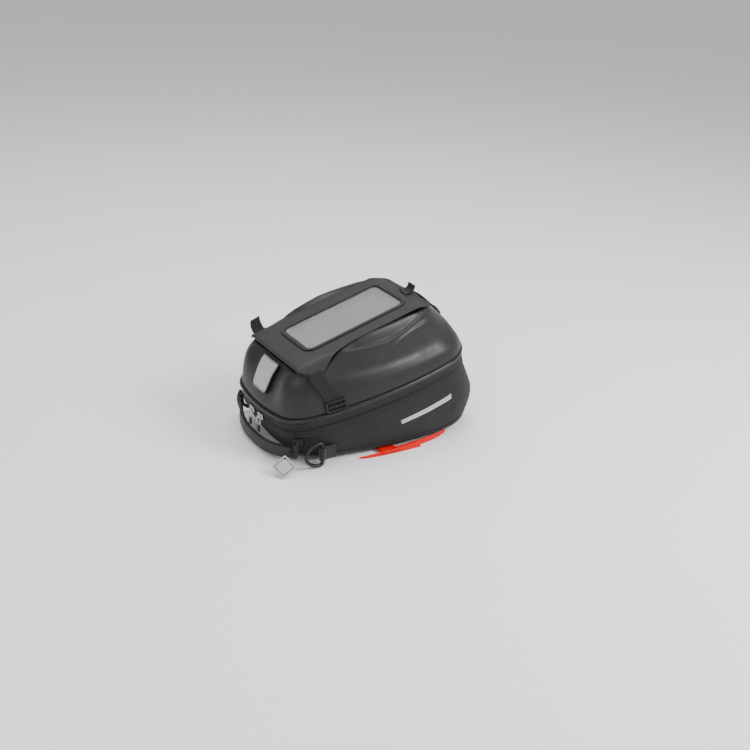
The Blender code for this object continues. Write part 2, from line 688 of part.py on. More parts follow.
def make_release_tape():
    """A tape sewn to the latch's leg: out under the right hem, then on edge along it, with one leg forwards."""
    low = BASE_Z - 5.4
    root, edge = LATCH_HEEL + GAP, TAPE_EDGE
    outline = [(-8.0, -root), (-14.0, -edge - 10.0), (14.0, -edge - 11.0), (8.0, -root)]
    tape = flat("release_tape", [outline], TAPE_DEEP, Matrix.Translation((0, 0, BASE_Z - 1.8)))
    rear = [(-42.0, -edge - 3.5, low), (-30.0, -edge - 7.0, low), (-12.0, -edge - 9.5, low), (14.0, -edge - 11.0, low),
            (46.0, -edge - 11.5, low)]
    bow = [(8.0, -edge - 9.0, low), (30.0, -edge - 8.0, low), (54.0, -edge - 5.5, low), (74.0, -edge - 3.5, low + 1.5),
           (92.0, -edge - 0.5, low + 5.0)]
    cut(tape, upright_strip("tape_rear_leg", rear, TAPE_WIDE, TAPE_DEEP), "UNION")
    cut(tape, upright_strip("tape_front_leg", bow, TAPE_WIDE, TAPE_DEEP), "UNION")
    finish(tape, RED, 0)


# ---------------------------------------------------------------- phone holder
def film_to_seam(points):
    turn = SEAM.inverted() @ FILM
    return [turn @ Vector(p) for p in points]


def radial(loop, angle):
    """Where a ray from the window's middle crosses a loop of points."""
    cx, cy = WINDOW_MIDDLE, 0.0
    dx, dy = math.cos(angle), math.sin(angle)
    best = None
    for (ax, ay), (bx, by) in zip(loop, loop[1:] + loop[:1]):
        ex, ey = bx - ax, by - ay
        cross = dx * ey - dy * ex
        if abs(cross) < 1e-9:
            continue
        far = ((ax - cx) * ey - (ay - cy) * ex) / cross
        share = ((ax - cx) * dy - (ay - cy) * dx) / cross
        if far > 0 and -1e-6 <= share <= 1 + 1e-6:
            best = far if best is None else min(best, far)
    return cx + dx * best, cy + dy * best


def make_holder():
    half = sheet_outline()
    outer = half + [(x, -y) for x, y in reversed(half[1:-1])]
    rear, front, wide, corner = WINDOW
    hole = rounded(rear + 2.0, front - 2.0, wide - 2.0, corner - 2.0, 4)
    turns = sorted(math.atan2(y, x - WINDOW_MIDDLE) for x, y in outer + hole)
    turns = [a for a, b in zip(turns, turns[1:] + [10.0]) if b - a > 0.012]
    rings = []
    for share in (0.0, 0.35, 0.65, 0.85, 1.0):
        row = []
        for a in turns:
            (hx, hy), (ox, oy) = radial(hole, a), radial(outer, a)
            x, y = hx + (ox - hx) * share, hy + (oy - hy) * share
            row.append((x, y, -droop(x, y)))
        rings.append(placed(FILM, row))
    rings.reverse()
    finish(shell("holder_sheet", rings, SHEET_THICK), SHEET)
    border = [rounded(rear, front, wide, corner), rounded(rear + FRAME_WIDTH, front - FRAME_WIDTH,
                                                           wide - FRAME_WIDTH, corner - FRAME_WIDTH)]
    finish(flat("window_frame", border, FRAME_THICK, FILM @ Matrix.Translation((0, 0, GAP + FRAME_THICK / 2))),
           RUBBER, 0)
    pane = rounded(rear + 2.4, front - 2.4, wide - 2.4, corner - 2.4)
    finish(flat("window_film", [pane], FILM_THICK, FILM @ Matrix.Translation((0, 0, -FILM_THICK / 2))), FILM_LOOK, 0)


def lid_where(axis, value, level, low, high):
    """The normal angle between low and high where the lid's ring passes a given x or y."""
    a, b = low, high
    rising = lid_point(b, level)[axis] > lid_point(a, level)[axis]
    for _ in range(40):
        middle = (a + b) / 2
        if (lid_point(middle, level)[axis] < value) == rising:
            a = middle
        else:
            b = middle
    return (a + b) / 2


def on_lid(place, across, level, lift):
    """A point over the lid: at x = across on the right or left side, or at y = across at the front or rear."""
    spans = {"right": (0, -170.0, -75.0), "left": (0, 75.0, 170.0), "front": (1, -60.0, 60.0), "rear": (1, 120.0, 240.0)}
    axis, low, high = spans[place]
    a = lid_where(axis, across, level, low, high)
    return lid_point(a, level) + lid_normal(a, level) * lift


def strip(name, place, middle, width, levels, lift, thickness, look, start=None):
    """A strip over the lid from level to level, as wide as given, its middle moving as middle(share) says."""
    edges = []
    for side in (-0.5, 0.5):
        row = [start[0] if side < 0 else start[1]] if start else []
        for i, n in enumerate(levels):
            row.append(on_lid(place, middle(i / (len(levels) - 1)) + side * width, n, lift + thickness))
        edges.append(row)
    down = edges[0][-1] - edges[0][-2]
    across = edges[1][-1] - edges[0][-1]
    if down.cross(across).dot(Vector((edges[0][-1].x, edges[0][-1].y, 0.0))) < 0:
        edges.reverse()
    return finish(shell(name, [placed(SEAM, row) for row in edges], thickness, closed_ring=False), look)


def loop_lock(name, place, middle, levels):
    """A plastic ladder frame that grips a strap, lying over the lid."""
    half = STRAP_WIDTH / 2
    corners = [on_lid(place, middle + side * half, n, 2.6) for n in levels for side in (-1, 1)]
    centre = sum(corners, Vector()) / 4
    across = (corners[1] - corners[0] + corners[3] - corners[2]).normalized()
    up = (corners[0] - corners[2] + corners[1] - corners[3]).normalized()
    face = across.cross(up)
    if face.dot(Vector((centre.x, centre.y, 0.0))) < 0:
        across, face = -across, -face
    up = face.cross(across)
    frame = SEAM @ Matrix.Translation(centre) @ Matrix((across, up, face)).transposed().to_4x4()
    outer = rounded(-half - 4.0, half + 4.0, 7.0, 2.5, 2)
    slots = [[(x, y + rise) for x, y in rounded(-half - 0.8, half + 0.8, 1.8, 0.8, 1)] for rise in (-3.2, 3.2)]
    finish(flat(f"loop_lock_{name}", [outer] + slots, 2.4, frame), PLASTIC, 0)


def make_straps():
    for place, sign in (("right", -1), ("left", 1)):
        start = film_to_seam([(-94.3, sign * 75.6, -droop(-93.0, 73.6) - 0.6), (-75.0, sign * 77.6, -droop(-76.0, 75.6) - 0.6)])
        strip(f"strap_rear_{place}", place, lambda t: -88.0 + 11.5 * t, STRAP_WIDTH,
              (3.8, 3.3, 2.8, 2.3, 1.85), 0.6, STRAP_THICK, WEBBING, start)
        loop_lock(f"rear_{place}", place, -76.0, (1.35, 0.75))
        strip(f"lock_tab_rear_{place}", place, lambda t: -76.0, STRAP_WIDTH - 1.0, (0.7, 0.35, 0.0), 0.3, 0.8, WEBBING)
    start = film_to_seam([(107.0, -10.0, -NOSE_DROOP - 1.2), (107.0, 10.0, -NOSE_DROOP - 1.2)])
    strip("strap_front", "front", lambda t: 0.0, STRAP_WIDTH, (6.5, 6.0, 5.4, 4.6, 3.8), 1.4, STRAP_THICK, WEBBING, start)
    loop_lock("front", "front", 0.0, (3.4, 2.7))
    strip("lock_tab_front", "front", lambda t: 0.0, STRAP_WIDTH - 1.0, (2.4, 1.8, 1.0, 0.3), 0.4, 1.2, WEBBING)


def make_badge():
    """A reflective plate on the lid's rear slope."""
    rows = []
    for i in range(6):
        half = 21.5 - 2.5 * i / 5
        rows.append([on_lid("rear", half * side / 3, 5.4 - 0.66 * i, 2.0) for side in range(3, -4, -1)])
    rows.reverse()
    finish(shell("rear_badge", [placed(SEAM, row) for row in rows], 1.2, closed_ring=False), REFLECTIVE)


# ---------------------------------------------------------------- zip sliders and pulls
def slider_frame(turn, out, z):
    """X out of the bag, Y along the zip and Z up, at a point over the zip on the rear arc."""
    a = 180.0 - turn
    x, y = plan(a, out)
    return SEAM @ Matrix.Translation((x, y, z)) @ Matrix.Rotation(math.radians(a), 4, "Z")


def hanging(frame):
    """The same origin and Y, with Z turned to the nearest upright."""
    y = (frame.to_3x3() @ Vector((0, 1, 0))).normalized()
    z = (Vector((0, 0, 1)) - y * y.z).normalized()
    x = y.cross(z)
    return Matrix.Translation(frame.translation) @ Matrix((x, y, z)).transposed().to_4x4()


def make_sliders():
    middle = (UPPER_COIL[0] + LOWER_COIL[1]) / 2
    for side, turn in zip(("right", "left"), SLIDER_AT):
        base = TAPE_OUT + 0.5
        frame = slider_frame(turn, base + SLIDER_THICK / 2, middle)
        body = block(f"slider_{side}", (SLIDER_THICK, SLIDER_LONG, SLIDER_TALL), frame, 0.6)
        reach = LUG_OUT - base + 2.4
        lug = block("lug", (reach, 2.6, 4.6), slider_frame(turn, base + reach / 2 + 0.4, middle), 0.5, CUTTERS)
        cut(body, cutter(lug), "UNION")
        pin = slider_frame(turn, LUG_OUT, middle)
        bore = rod("lug_bore", PIN_HOLE_R, -4.0, 4.0, pin @ Matrix.Rotation(math.radians(90), 4, "X"), 12)
        cut(body, bore)
        finish(body, NICKEL)
        hung = hanging(pin)
        long, wide = PULL_LONG, PULL_WIDE / 2
        outline = rounded(-long, 0.0, wide, 1.6, 2)
        loop = placed(hung, [(0.0, y, x) for x, y in outline])
        finish(wire(f"pull_wire_{side}", loop, PULL_WIRE_R, cyclic=True, sides=1), NICKEL)
        low = -long - PULL_WIRE_R - GAP
        tab = block(f"pull_tab_{side}", (TAB_THICK, TAB_WIDE, TAB_LONG),
                    hung @ Matrix.Translation((0, 0, low - TAB_LONG / 2)), 0.8)
        finish(tab, WEBBING)


# ---------------------------------------------------------------- handle, D-rings and tag
def wall_spot(angle, share):
    """A point of the side wall's outer face: normal angle, and share of the way from hem to zip band."""
    rings = wall_rings()
    i = min(range(len(RING_ANGLES)), key=lambda k: abs(RING_ANGLES[k] - angle))
    level = share * (len(WALL_SHARES) - 1)
    low = int(level)
    return rings[low][i].lerp(rings[low + 1][i], level - low)


def handle_hinge():
    """The left end of the handle's hinge line, just outside the side wall."""
    a = math.radians(ANCHOR_ANGLE)
    return wall_spot(ANCHOR_ANGLE, ANCHOR_SHARE) + Vector((math.cos(a), math.sin(a), 0.0)) * ANCHOR_LONG


def handle_middle(share):
    """A point of the grip's middle line, from the right end at -1 to the left end at 1."""
    hinge = handle_hinge()
    bow = 1.0 - abs(share) ** 2.5
    return Vector((hinge.x - 3.0 - HANDLE_BOW * bow, (hinge.y - 5.0) * share,
                   hinge.z - HANDLE_END_DROP - HANDLE_DROP * bow))


def make_handle():
    steps = 16
    section = rounded(-GRIP_TALL / 2, GRIP_TALL / 2, GRIP_THICK / 2, 2.2, 2)
    rings = []
    for i in range(steps + 1):
        share = -1.0 + 2.0 * i / steps
        here = handle_middle(share)
        along = (handle_middle(share + 0.01) - handle_middle(share - 0.01)).normalized()
        up = (Vector((0, 0, 1)) - along * along.z).normalized()
        out = along.cross(up)
        rings.append([(here + up * x + out * y) * MM for x, y in section])
    finish(solid_loft("handle_grip", rings), RUBBER)
    hinge = handle_hinge()
    for side, sign in (("right", -1), ("left", 1)):
        top = Vector((hinge.x, sign * hinge.y, hinge.z))
        low = handle_middle(sign) + Vector((0, sign * 6.0, 0))
        down = (low - top).normalized()
        y = Vector((0, 1, 0))
        frame = Matrix((y.cross(-down), y, -down)).transposed().to_4x4()
        long = (low - top).length + 5.0
        frame = Matrix.Translation(top + down * (long / 2 + 2.2) + Vector((0, sign * 0.6, 0))) @ frame
        finish(block(f"handle_end_{side}", (2.2, 6.8, long), frame, 0.6), WEBBING)
        turn = Matrix.Rotation(math.radians(sign * ANCHOR_ANGLE), 4, "Z")
        spot = Matrix.Translation(top) @ turn @ Matrix.Translation((-ANCHOR_LONG / 2 + 0.4, 0, 0.0))
        finish(block(f"handle_anchor_{side}", (ANCHOR_LONG - 1.2, 11.0, 3.0), spot, 0.8), WEBBING)


def make_rings():
    bar_x, bar_y = RING_BAR
    low, high = RING_Z
    for side, sign in (("right", -1), ("left", 1)):
        half = (high - low) / 2
        points = [(bar_x, half - 3.0), (bar_x - 1.0, half - 0.6)]
        points += [(bar_x - 4.0 - (RING_REACH - 4.0) * math.sin(math.radians(a)),
                    half * math.cos(math.radians(a)) * 1.02) for a in range(0, 181, 15)]
        points += [(bar_x - 1.0, -half + 0.6), (bar_x, -half + 3.0)]
        middle = BASE_Z + (low + high) / 2
        loop = [Vector((x, sign * bar_y, middle + z)) * MM for x, z in points]
        finish(wire(f"d_ring_{side}", loop, RING_R, cyclic=True, sides=2), PLASTIC)
        frame = Matrix.Translation((bar_x, sign * bar_y, middle))
        finish(flat(f"d_ring_tab_{side}", ring_tab_outline(), 17.0, frame), WEBBING, 0)


def ring_tab_outline():
    """Section of the webbing tab: a loop round the D-ring's bar with two layers running forwards."""
    hole = RING_R + 0.4
    wrap = arc(0, 0, hole + 1.6, 35.0, 325.0, 16) + [(9.0, -1.2), (19.0, -1.2), (19.0, 1.2), (9.0, 1.2)]
    return [wrap, arc(0, 0, hole, 0.0, 330.0, 11)]


def make_tag():
    """A square tag that hangs from the handle's right end, lying on what the bag stands on."""
    face = Vector((-0.35, -0.55, 0.75)).normalized()
    slope = Vector((-face.x * face.z, -face.y * face.z, 1.0 - face.z * face.z)).normalized()
    frame = (Matrix.Translation((-146.5, -87.5, BASE_Z + 5.6))
             @ Matrix((slope, face.cross(slope), face)).transposed().to_4x4()
             @ Matrix.Rotation(math.radians(45.0), 4, "Z"))
    half = TAG_SIDE / 2
    finish(flat("hang_tag", [rounded(-half, half, half, 1.5, 2)], TAG_THICK, frame), REFLECTIVE, 0)


make_lid()
make_zip()
make_wall()
make_bottom()
make_lock()
make_latch()
make_release_tape()
make_holder()
make_straps()
make_badge()
make_sliders()
make_handle()
make_rings()
make_tag()
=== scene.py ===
"""A domed tank bag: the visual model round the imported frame. Lengths are in millimetres until a mesh is made."""
import math

import bmesh
import bpy
from mathutils import Matrix, Vector, noise


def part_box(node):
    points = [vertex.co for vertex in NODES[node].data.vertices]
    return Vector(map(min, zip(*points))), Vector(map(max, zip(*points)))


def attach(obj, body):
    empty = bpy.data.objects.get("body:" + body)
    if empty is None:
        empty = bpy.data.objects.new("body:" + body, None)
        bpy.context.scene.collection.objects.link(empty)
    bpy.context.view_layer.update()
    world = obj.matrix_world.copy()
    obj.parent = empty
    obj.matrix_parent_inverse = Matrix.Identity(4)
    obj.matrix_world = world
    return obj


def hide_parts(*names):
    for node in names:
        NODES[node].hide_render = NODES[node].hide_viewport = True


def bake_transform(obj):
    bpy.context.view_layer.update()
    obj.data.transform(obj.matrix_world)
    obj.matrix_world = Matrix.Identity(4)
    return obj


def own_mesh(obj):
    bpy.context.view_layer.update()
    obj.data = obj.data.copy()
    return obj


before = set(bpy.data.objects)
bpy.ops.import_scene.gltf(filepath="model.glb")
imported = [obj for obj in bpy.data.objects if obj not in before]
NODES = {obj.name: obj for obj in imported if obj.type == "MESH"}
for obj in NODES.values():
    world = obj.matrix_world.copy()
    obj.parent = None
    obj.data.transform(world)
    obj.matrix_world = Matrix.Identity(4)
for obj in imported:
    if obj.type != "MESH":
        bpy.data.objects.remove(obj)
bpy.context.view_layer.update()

MM = 0.001
UPWARD = Vector((0, 0, 1))
SIDES = (("right", -1), ("left", 1))

# ---------------------------------------------------------------- the part's own sizes
BASE_Z, SEAM_RISE, SEAM_PITCH = -14.0, 81.3, 11.6
FILM_RISE, FILM_PITCH = 70.7, 4.8
SEAM_REAR = -145.7
REAR_R, CORNER_R, SIDE_R, SHOULDER_R = 250.0, 42.7, 480.0, 61.1
SWEEPS = (12.3, 62.9, 23.6, 68.0)
LID_RINGS = [
    (-142.7, 143.0, 98.8, 4.3, 4.3, 4.3, 4.3, 4.3),
    (-141.0, 141.5, 98.2, 9.0, 9.5, 9.5, 9.5, 9.5),
    (-136.5, 138.0, 95.8, 17.0, 22.0, 20.0, 18.0, 18.0),
    (-129.0, 131.5, 92.0, 29.0, 36.0, 29.0, 25.0, 31.0),
    (-121.0, 124.0, 87.5, 40.5, 47.0, 37.0, 33.0, 42.0),
    (-113.0, 115.0, 82.0, 48.5, 55.0, 52.0, 49.0, 54.0),
    (-107.0, 107.5, 76.0, 52.0, 58.5, 68.0, 66.0, 63.0),
    (-104.5, 103.0, 71.0, 52.5, 59.0, 76.5, 73.0, 67.0),
    (-103.0, 99.5, 66.8, 52.3, 57.0, 74.0, 71.5, 68.5),
]
SCOOP = 9.0
BED_RINGS = [(-101.0, 96.5, 63.0), (-90.0, 86.0, 55.0), (-52.0, 48.0, 32.0)]
BED_DEPTH = 10.0
RELIEF_FROM, UPPER_HOLLOW, UPPER_LIP, LOWER_HOLLOW, LOWER_LIP = 40.0, 2.3, 0.5, 2.5, 0.7
ROWS_PER_LEVEL = (2, 3, 6, 12, 16, 16, 12, 4)
LINING_IN, LINING_DOWN = 2.4, 3.4
HEM_RING = (-120.0, 157.0, 93.0)
HEM_Z, BOW_START, BOW_RISE = 4.5, 78.0, 26.0
BULGE_OUT, FRONT_BULGE = 2.5, 5.5
SHEET_THICK = 1.8
WINDOW = (-74.0, 80.0, 40.0, 13.0)
WINDOW_MIDDLE = (WINDOW[0] + WINDOW[1]) / 2
WING_DROOP, NOSE_DROOP = 12.0, 9.0
SHEET_FRONT = [(106.0, 0.0), (105.0, -30.0)]
SHEET_SIDE = [(80.0, -60.0), (10.0, -59.5), (-25.0, -60.5), (-42.0, -63.3), (-55.0, -67.5), (-66.0, -72.3),
              (-73.0, -74.8)]
SHEET_WING = [(-76.0, -75.6), (-93.0, -73.6), (-97.5, -71.0), (-100.5, -64.0), (-101.0, -40.0), (-101.0, 0.0)]
STRAP_WIDTH = 20.0

SEAM = Matrix.Translation((0, 0, BASE_Z + SEAM_RISE)) @ Matrix.Rotation(math.radians(-SEAM_PITCH), 4, "Y")
FILM = SEAM @ Matrix.Rotation(math.radians(-FILM_PITCH), 4, "Y") @ Matrix.Translation((0, 0, FILM_RISE))
FILM_UP = FILM.to_3x3() @ Vector((0, 0, 1))


def frame_of(place, x, y, z):
    """The matrix of a frame from its place and its three axes."""
    return Matrix.Translation(place) @ Matrix((x, y, z)).transposed().to_4x4()


def on_film(*points):
    return [FILM @ Vector(p) for p in points]


def eased(low, high, value):
    t = min(1.0, max(0.0, (value - low) / (high - low)))
    return t * t * (3.0 - 2.0 * t)


def make_arcs():
    out, normal = [], 180.0
    centre, last_r = Vector((SEAM_REAR + REAR_R, 0.0)), REAR_R
    for radius, sweep in zip((REAR_R, CORNER_R, SIDE_R, SHOULDER_R), SWEEPS):
        a = math.radians(normal)
        centre = centre + Vector((math.cos(a), math.sin(a))) * (last_r - radius)
        out.append((normal, normal - sweep, centre.copy(), radius))
        normal -= sweep
        last_r = radius
    a = math.radians(normal)
    front_r = last_r + centre.y / math.sin(a)
    centre = centre + Vector((math.cos(a), math.sin(a))) * (last_r - front_r)
    out.append((normal, 0.0, centre, front_r))
    return out


ARCS = make_arcs()
SEAM_FRONT = ARCS[-1][2].x + ARCS[-1][3]
SEAM_HALF = ARCS[2][2].y + ARCS[2][3]


def outward(angle):
    return Vector((math.cos(math.radians(angle)), math.sin(math.radians(angle)), 0.0))


def plan(angle, out=0.0):
    """The seam's plan at an outward normal angle: 0 is the front, 90 the left, 180 the rear."""
    turn = (angle + 180.0) % 360.0 - 180.0
    a = abs(turn)
    for first, last, centre, radius in ARCS:
        if first >= a >= last:
            break
    x = centre.x + (radius + out) * math.cos(math.radians(a))
    y = centre.y + (radius + out) * math.sin(math.radians(a))
    return x, math.copysign(y, turn)


def spread_angles(count):
    """Normal angles round the ring, spaced evenly along the seam."""
    half = []
    length = sum(math.radians(f - l) * r for f, l, _, r in ARCS)
    for first, last, _, radius in ARCS:
        steps = max(3, round(count / 2 * math.radians(first - last) * radius / length))
        half += [first - (first - last) * i / steps for i in range(steps)]
    return [0.0] + half[:0:-1] + [180.0] + [-a for a in half[1:]]


FINE = spread_angles(460)


def stretch(angle, rear, front, half):
    """The seam's plan scaled to another rear, front and half width."""
    x, y = plan(angle)
    return rear + (x - SEAM_REAR) * (front - rear) / (SEAM_FRONT - SEAM_REAR), y * half / SEAM_HALF


def film_height(x):
    """The height of the window film's plane over the seam's plane."""
    return FILM_RISE / math.cos(math.radians(FILM_PITCH)) + x * math.tan(math.radians(FILM_PITCH))


def droop(x, y):
    """How far the holder sheet hangs below the film's plane at its rear wings and its nose."""
    wing = eased(58.0, 80.0, abs(y)) * eased(-36.0, -76.0, x)
    return WING_DROOP * wing + NOSE_DROOP * eased(78.0, 108.0, x)


def under_sheet(x, y, z):
    """The lid's height where it would rise through the holder sheet: it stays under the sheet, softly."""
    film_x = x + FILM_RISE * math.sin(math.radians(FILM_PITCH))
    edge = SHEET_SIDE + SHEET_WING[:2]
    half = -edge[0][1]
    for (ax, ay), (bx, by) in zip(edge, edge[1:]):
        if bx <= film_x <= ax:
            half = -(ay + (by - ay) * (film_x - ax) / (bx - ax))
    outside = max(abs(y) - half, film_x - SHEET_FRONT[0][0], SHEET_WING[-1][0] - film_x)
    cap = film_height(x) - droop(film_x, y) - SHEET_THICK - 2.0 + 14.0 * eased(0.0, 13.0, outside)
    soft = 1.5
    blend = min(1.0, max(0.0, 0.5 + (cap - z) / (2 * soft)))
    return cap + (z - cap) * blend - soft * blend * (1.0 - blend)


def ring_row(level):
    """The lid's ring table at a level, with a smooth curve through its rows."""
    rows = LID_RINGS
    i = min(int(level), len(rows) - 2)
    t = level - i
    before, after = rows[max(i - 1, 0)], rows[min(i + 2, len(rows) - 1)]
    out = []
    for p0, p1, p2, p3 in zip(before, rows[i], rows[i + 1], after):
        out.append(0.5 * (2 * p1 + (p2 - p0) * t + (2 * p0 - 5 * p1 + 4 * p2 - p3) * t * t
                          + (3 * p1 - p0 - 3 * p2 + p3) * t ** 3))
    return out


def lid_point(angle, level):
    """A point of the plain dome: level 0 is its foot, level 8 its last ring."""
    rear, front, half, z_rear, side_rear, side_mid, side_front, z_front = ring_row(level)
    x, y = stretch(angle, rear, front, half)
    x -= SCOOP * eased(0.0, 45.0, z_rear) * eased(20.0, 58.0, abs(y)) * eased(0.45, 0.95, -x / 120.0)
    t = x / 90.0
    side = side_mid + (side_front - side_rear) / 2 * t + ((side_rear + side_front) / 2 - side_mid) * t * t
    side = min(side, max(side_rear, side_mid, side_front))
    end = z_rear + (z_front - z_rear) * eased(-30.0, 30.0, x)
    return Vector((x, y, under_sheet(x, y, end + (side - end) * eased(0.30, 0.95, abs(y) / half))))


def lid_normal(angle, level):
    step = 0.06
    low, high = max(0.0, level - step), min(7.999, level + step)
    up = lid_point(angle, high) - lid_point(angle, low)
    along = lid_point(angle + 0.6, level) - lid_point(angle - 0.6, level)
    return along.cross(up).normalized()


def relief(x, level, y):
    """The moulded leaf shapes on each side of the lid: how far the skin stands out of the plain dome."""
    if abs(y) < RELIEF_FROM:
        return 0.0
    upper = 5.52 + (1.25e-4 if x < 14.0 else 2.1e-4) * (x - 14.0) ** 2
    lower = 5.68 - 1.12 * math.exp(-(x - 3.0) / 27.0)
    out = 0.0
    # the upper leaf: a hollow over its edge, and a lip along it
    show = eased(-54.0, -28.0, x) * eased(98.0, 72.0, x)
    above = level - upper
    out -= UPPER_HOLLOW * show * eased(-0.05, 0.2, above) * eased(2.3, 1.4, above)
    out += UPPER_LIP * show * math.exp(-(above / 0.12) ** 2)
    # the lower leaf, which runs out before the upper edge
    show = eased(-14.0, 22.0, x) * eased(92.0, 60.0, x)
    t = max(0.0, (level - lower) / max(0.25, upper - lower))
    out -= LOWER_HOLLOW * show * eased(-0.05, 0.2, level - lower) * max(0.0, 1.0 - t)
    out += LOWER_LIP * show * math.exp(-((level - lower) / 0.2) ** 2)
    return out


def lid_where(axis, value, level, low, high):
    """The plan angle at which the lid, at a level, has a given value on one axis."""
    a, b = low, high
    rising = lid_point(b, level)[axis] > lid_point(a, level)[axis]
    for _ in range(36):
        middle = (a + b) / 2
        if (lid_point(middle, level)[axis] < value) == rising:
            a = middle
        else:
            b = middle
    return (a + b) / 2


SIXTHS = (0.0, 1.0472, 2.0944, 3.1416, 4.1888, 5.236)
# for each place: the axis it is measured along, and the plan angles it lies between
SPANS = {"right": (0, -170.0, -75.0), "left": (0, 75.0, 170.0),
         "front": (1, -60.0, 60.0), "rear": (1, 120.0, 240.0)}


def on_lid(place, across, level, lift):
    """A point over the lid in the seam frame, and the normal there."""
    axis, low, high = SPANS[place]
    a = lid_where(axis, across, level, low, high)
    n = lid_normal(a, level)
    p = lid_point(a, level)
    return p + n * (lift + max(0.0, relief(p.x, level, p.y))), n


# ---------------------------------------------------------------- meshes
def new_object(name, bm, look, smooth=38.0):
    mesh = bpy.data.meshes.new(name)
    bm.normal_update()
    bm.to_mesh(mesh)
    bm.free()
    obj = bpy.data.objects.new(name, mesh)
    bpy.context.scene.collection.objects.link(obj)
    for item in look if isinstance(look, (list, tuple)) else [look]:
        mesh.materials.append(item)
    mesh.shade_smooth()
    mesh.set_sharp_from_angle(angle=math.radians(smooth))
    return obj


def surface(name, rows, look, closed=False, smooth=38.0, cap=False, flip=False):
    """Quads between rows of world points (mm), with UVs in metres along and across."""
    bm = bmesh.new()
    uv = bm.loops.layers.uv.new("UVMap")
    verts = [[bm.verts.new(p * MM) for p in row] for row in rows]
    count = len(rows[0])
    middle = rows[len(rows) // 2]
    along = [0.0]
    for i in range(count):
        along.append(along[-1] + (middle[(i + 1) % count] - middle[i]).length * MM)
    column = count // 4
    across = [0.0]
    for a, b in zip(rows, rows[1:]):
        across.append(across[-1] + (b[column] - a[column]).length * MM)
    for r in range(len(rows) - 1):
        for i in range(count if closed else count - 1):
            j = (i + 1) % count
            corners = [(r, i, i), (r, j, i + 1), (r + 1, j, i + 1), (r + 1, i, i)]
            if flip:
                corners.reverse()
            face = bm.faces.new([verts[a][b] for a, b, _ in corners])
            for loop, (a, _, c) in zip(face.loops, corners):
                loop[uv].uv = (along[c], across[a])
    if cap:
        centre = bm.verts.new(sum((v.co for v in verts[-1]), Vector()) / count)
        for i in range(count):
            bm.faces.new((verts[-1][i], verts[-1][(i + 1) % count], centre))
    return new_object(name, bm, look, smooth)


def thicken(obj, thickness, inner_slot=0, offset=-1.0):
    """Give a surface a thickness in millimetres, inwards unless offset says otherwise."""
    solid = obj.modifiers.new("thickness", "SOLIDIFY")
    solid.thickness = thickness * MM
    solid.offset = offset
    solid.material_offset = inner_slot
    return obj


def facing(obj, way, polygon=0):
    """Turn a surface so that one of its polygons looks the given way."""
    if obj.data.polygons[polygon].normal.dot(Vector(way)) < 0:
        obj.data.flip_normals()
    return obj


def sweep(name, path, section, look, ups=None, cyclic=False, smooth=50.0, scale=None):
    """A closed section (side, up) swept along world points (mm); ups gives the section's up at each point."""
    bm = bmesh.new()
    uv = bm.loops.layers.uv.new("UVMap")
    count, rings, lengths = len(path), [], [0.0]
    up = Vector((0, 0, 1))
    for i, p in enumerate(path):
        before = path[i - 1] if (cyclic or i) else p
        after = path[(i + 1) % count] if (cyclic or i < count - 1) else p
        along = (after - before).normalized()
        if ups is not None:
            up = Vector(ups[i])
        up = up - along * up.dot(along)
        if up.length < 1e-6:
            up = Vector((0, 1, 0)) - along * along.y
        up = up.normalized()
        side = along.cross(up)
        k = scale[i] if scale else 1.0
        rings.append([bm.verts.new((p + side * (x * k) + up * (z * k)) * MM) for x, z in section])
        if i:
            lengths.append(lengths[-1] + (p - path[i - 1]).length * MM)
    lengths.append(lengths[-1] + (path[0] - path[-1]).length * MM)
    around = [0.0]
    for (ax, ay), (bx, by) in zip(section, section[1:] + section[:1]):
        around.append(around[-1] + math.hypot(bx - ax, by - ay) * MM)
    n = len(section)
    for r in range(count if cyclic else count - 1):
        for i in range(n):
            j = (i + 1) % n
            q = (r + 1) % count
            face = bm.faces.new((rings[r][j], rings[r][i], rings[q][i], rings[q][j]))
            for loop, (a, b) in zip(face.loops, ((r, i + 1), (r, i), (r + 1, i), (r + 1, i + 1))):
                loop[uv].uv = (lengths[a], around[b])
    if not cyclic:
        bm.faces.new(rings[0])
        bm.faces.new(list(reversed(rings[-1])))
    bmesh.ops.recalc_face_normals(bm, faces=bm.faces)
    return new_object(name, bm, look, smooth)


def put(bm, matrix):
    """Move a mesh by a matrix whose lengths are in millimetres."""
    place = matrix.copy()
    place.translation = place.translation * MM
    bmesh.ops.transform(bm, matrix=place, verts=bm.verts)


def bridge(bm, rings):
    """Faces between rings of vertices, and one at each end."""
    for low, high in zip(rings, rings[1:]):
        for k in range(len(low)):
            m = (k + 1) % len(low)
            bm.faces.new((low[k], low[m], high[m], high[k]))
    bm.faces.new(list(reversed(rings[0])))
    bm.faces.new(rings[-1])


def circle(radius, sides):
    turns = [2 * math.pi * i / sides for i in range(sides)]
    return [(radius * math.cos(t), radius * math.sin(t)) for t in turns]


def slab(width, thickness):
    """The section of a flat tape: its edges are rounded and stand a little proud, like a selvage."""
    h, t = width / 2, thickness / 2
    e = min(t, 0.8)
    half = [(h, 0.0), (h - 0.25 * e, 0.75 * t), (h - e, t * 1.06), (h - 2.2 * e, t)]
    top = half + [(h * k, t) for k in (0.5, 0.0, -0.5)] + [(-x, z) for x, z in reversed(half)]
    return top + [(-x, -z) for x, z in top[1:-1]]


def tube(name, path, radius, look, cyclic=False, sides=12, ups=None):
    return sweep(name, path, circle(radius, sides), look, ups=ups, cyclic=cyclic)


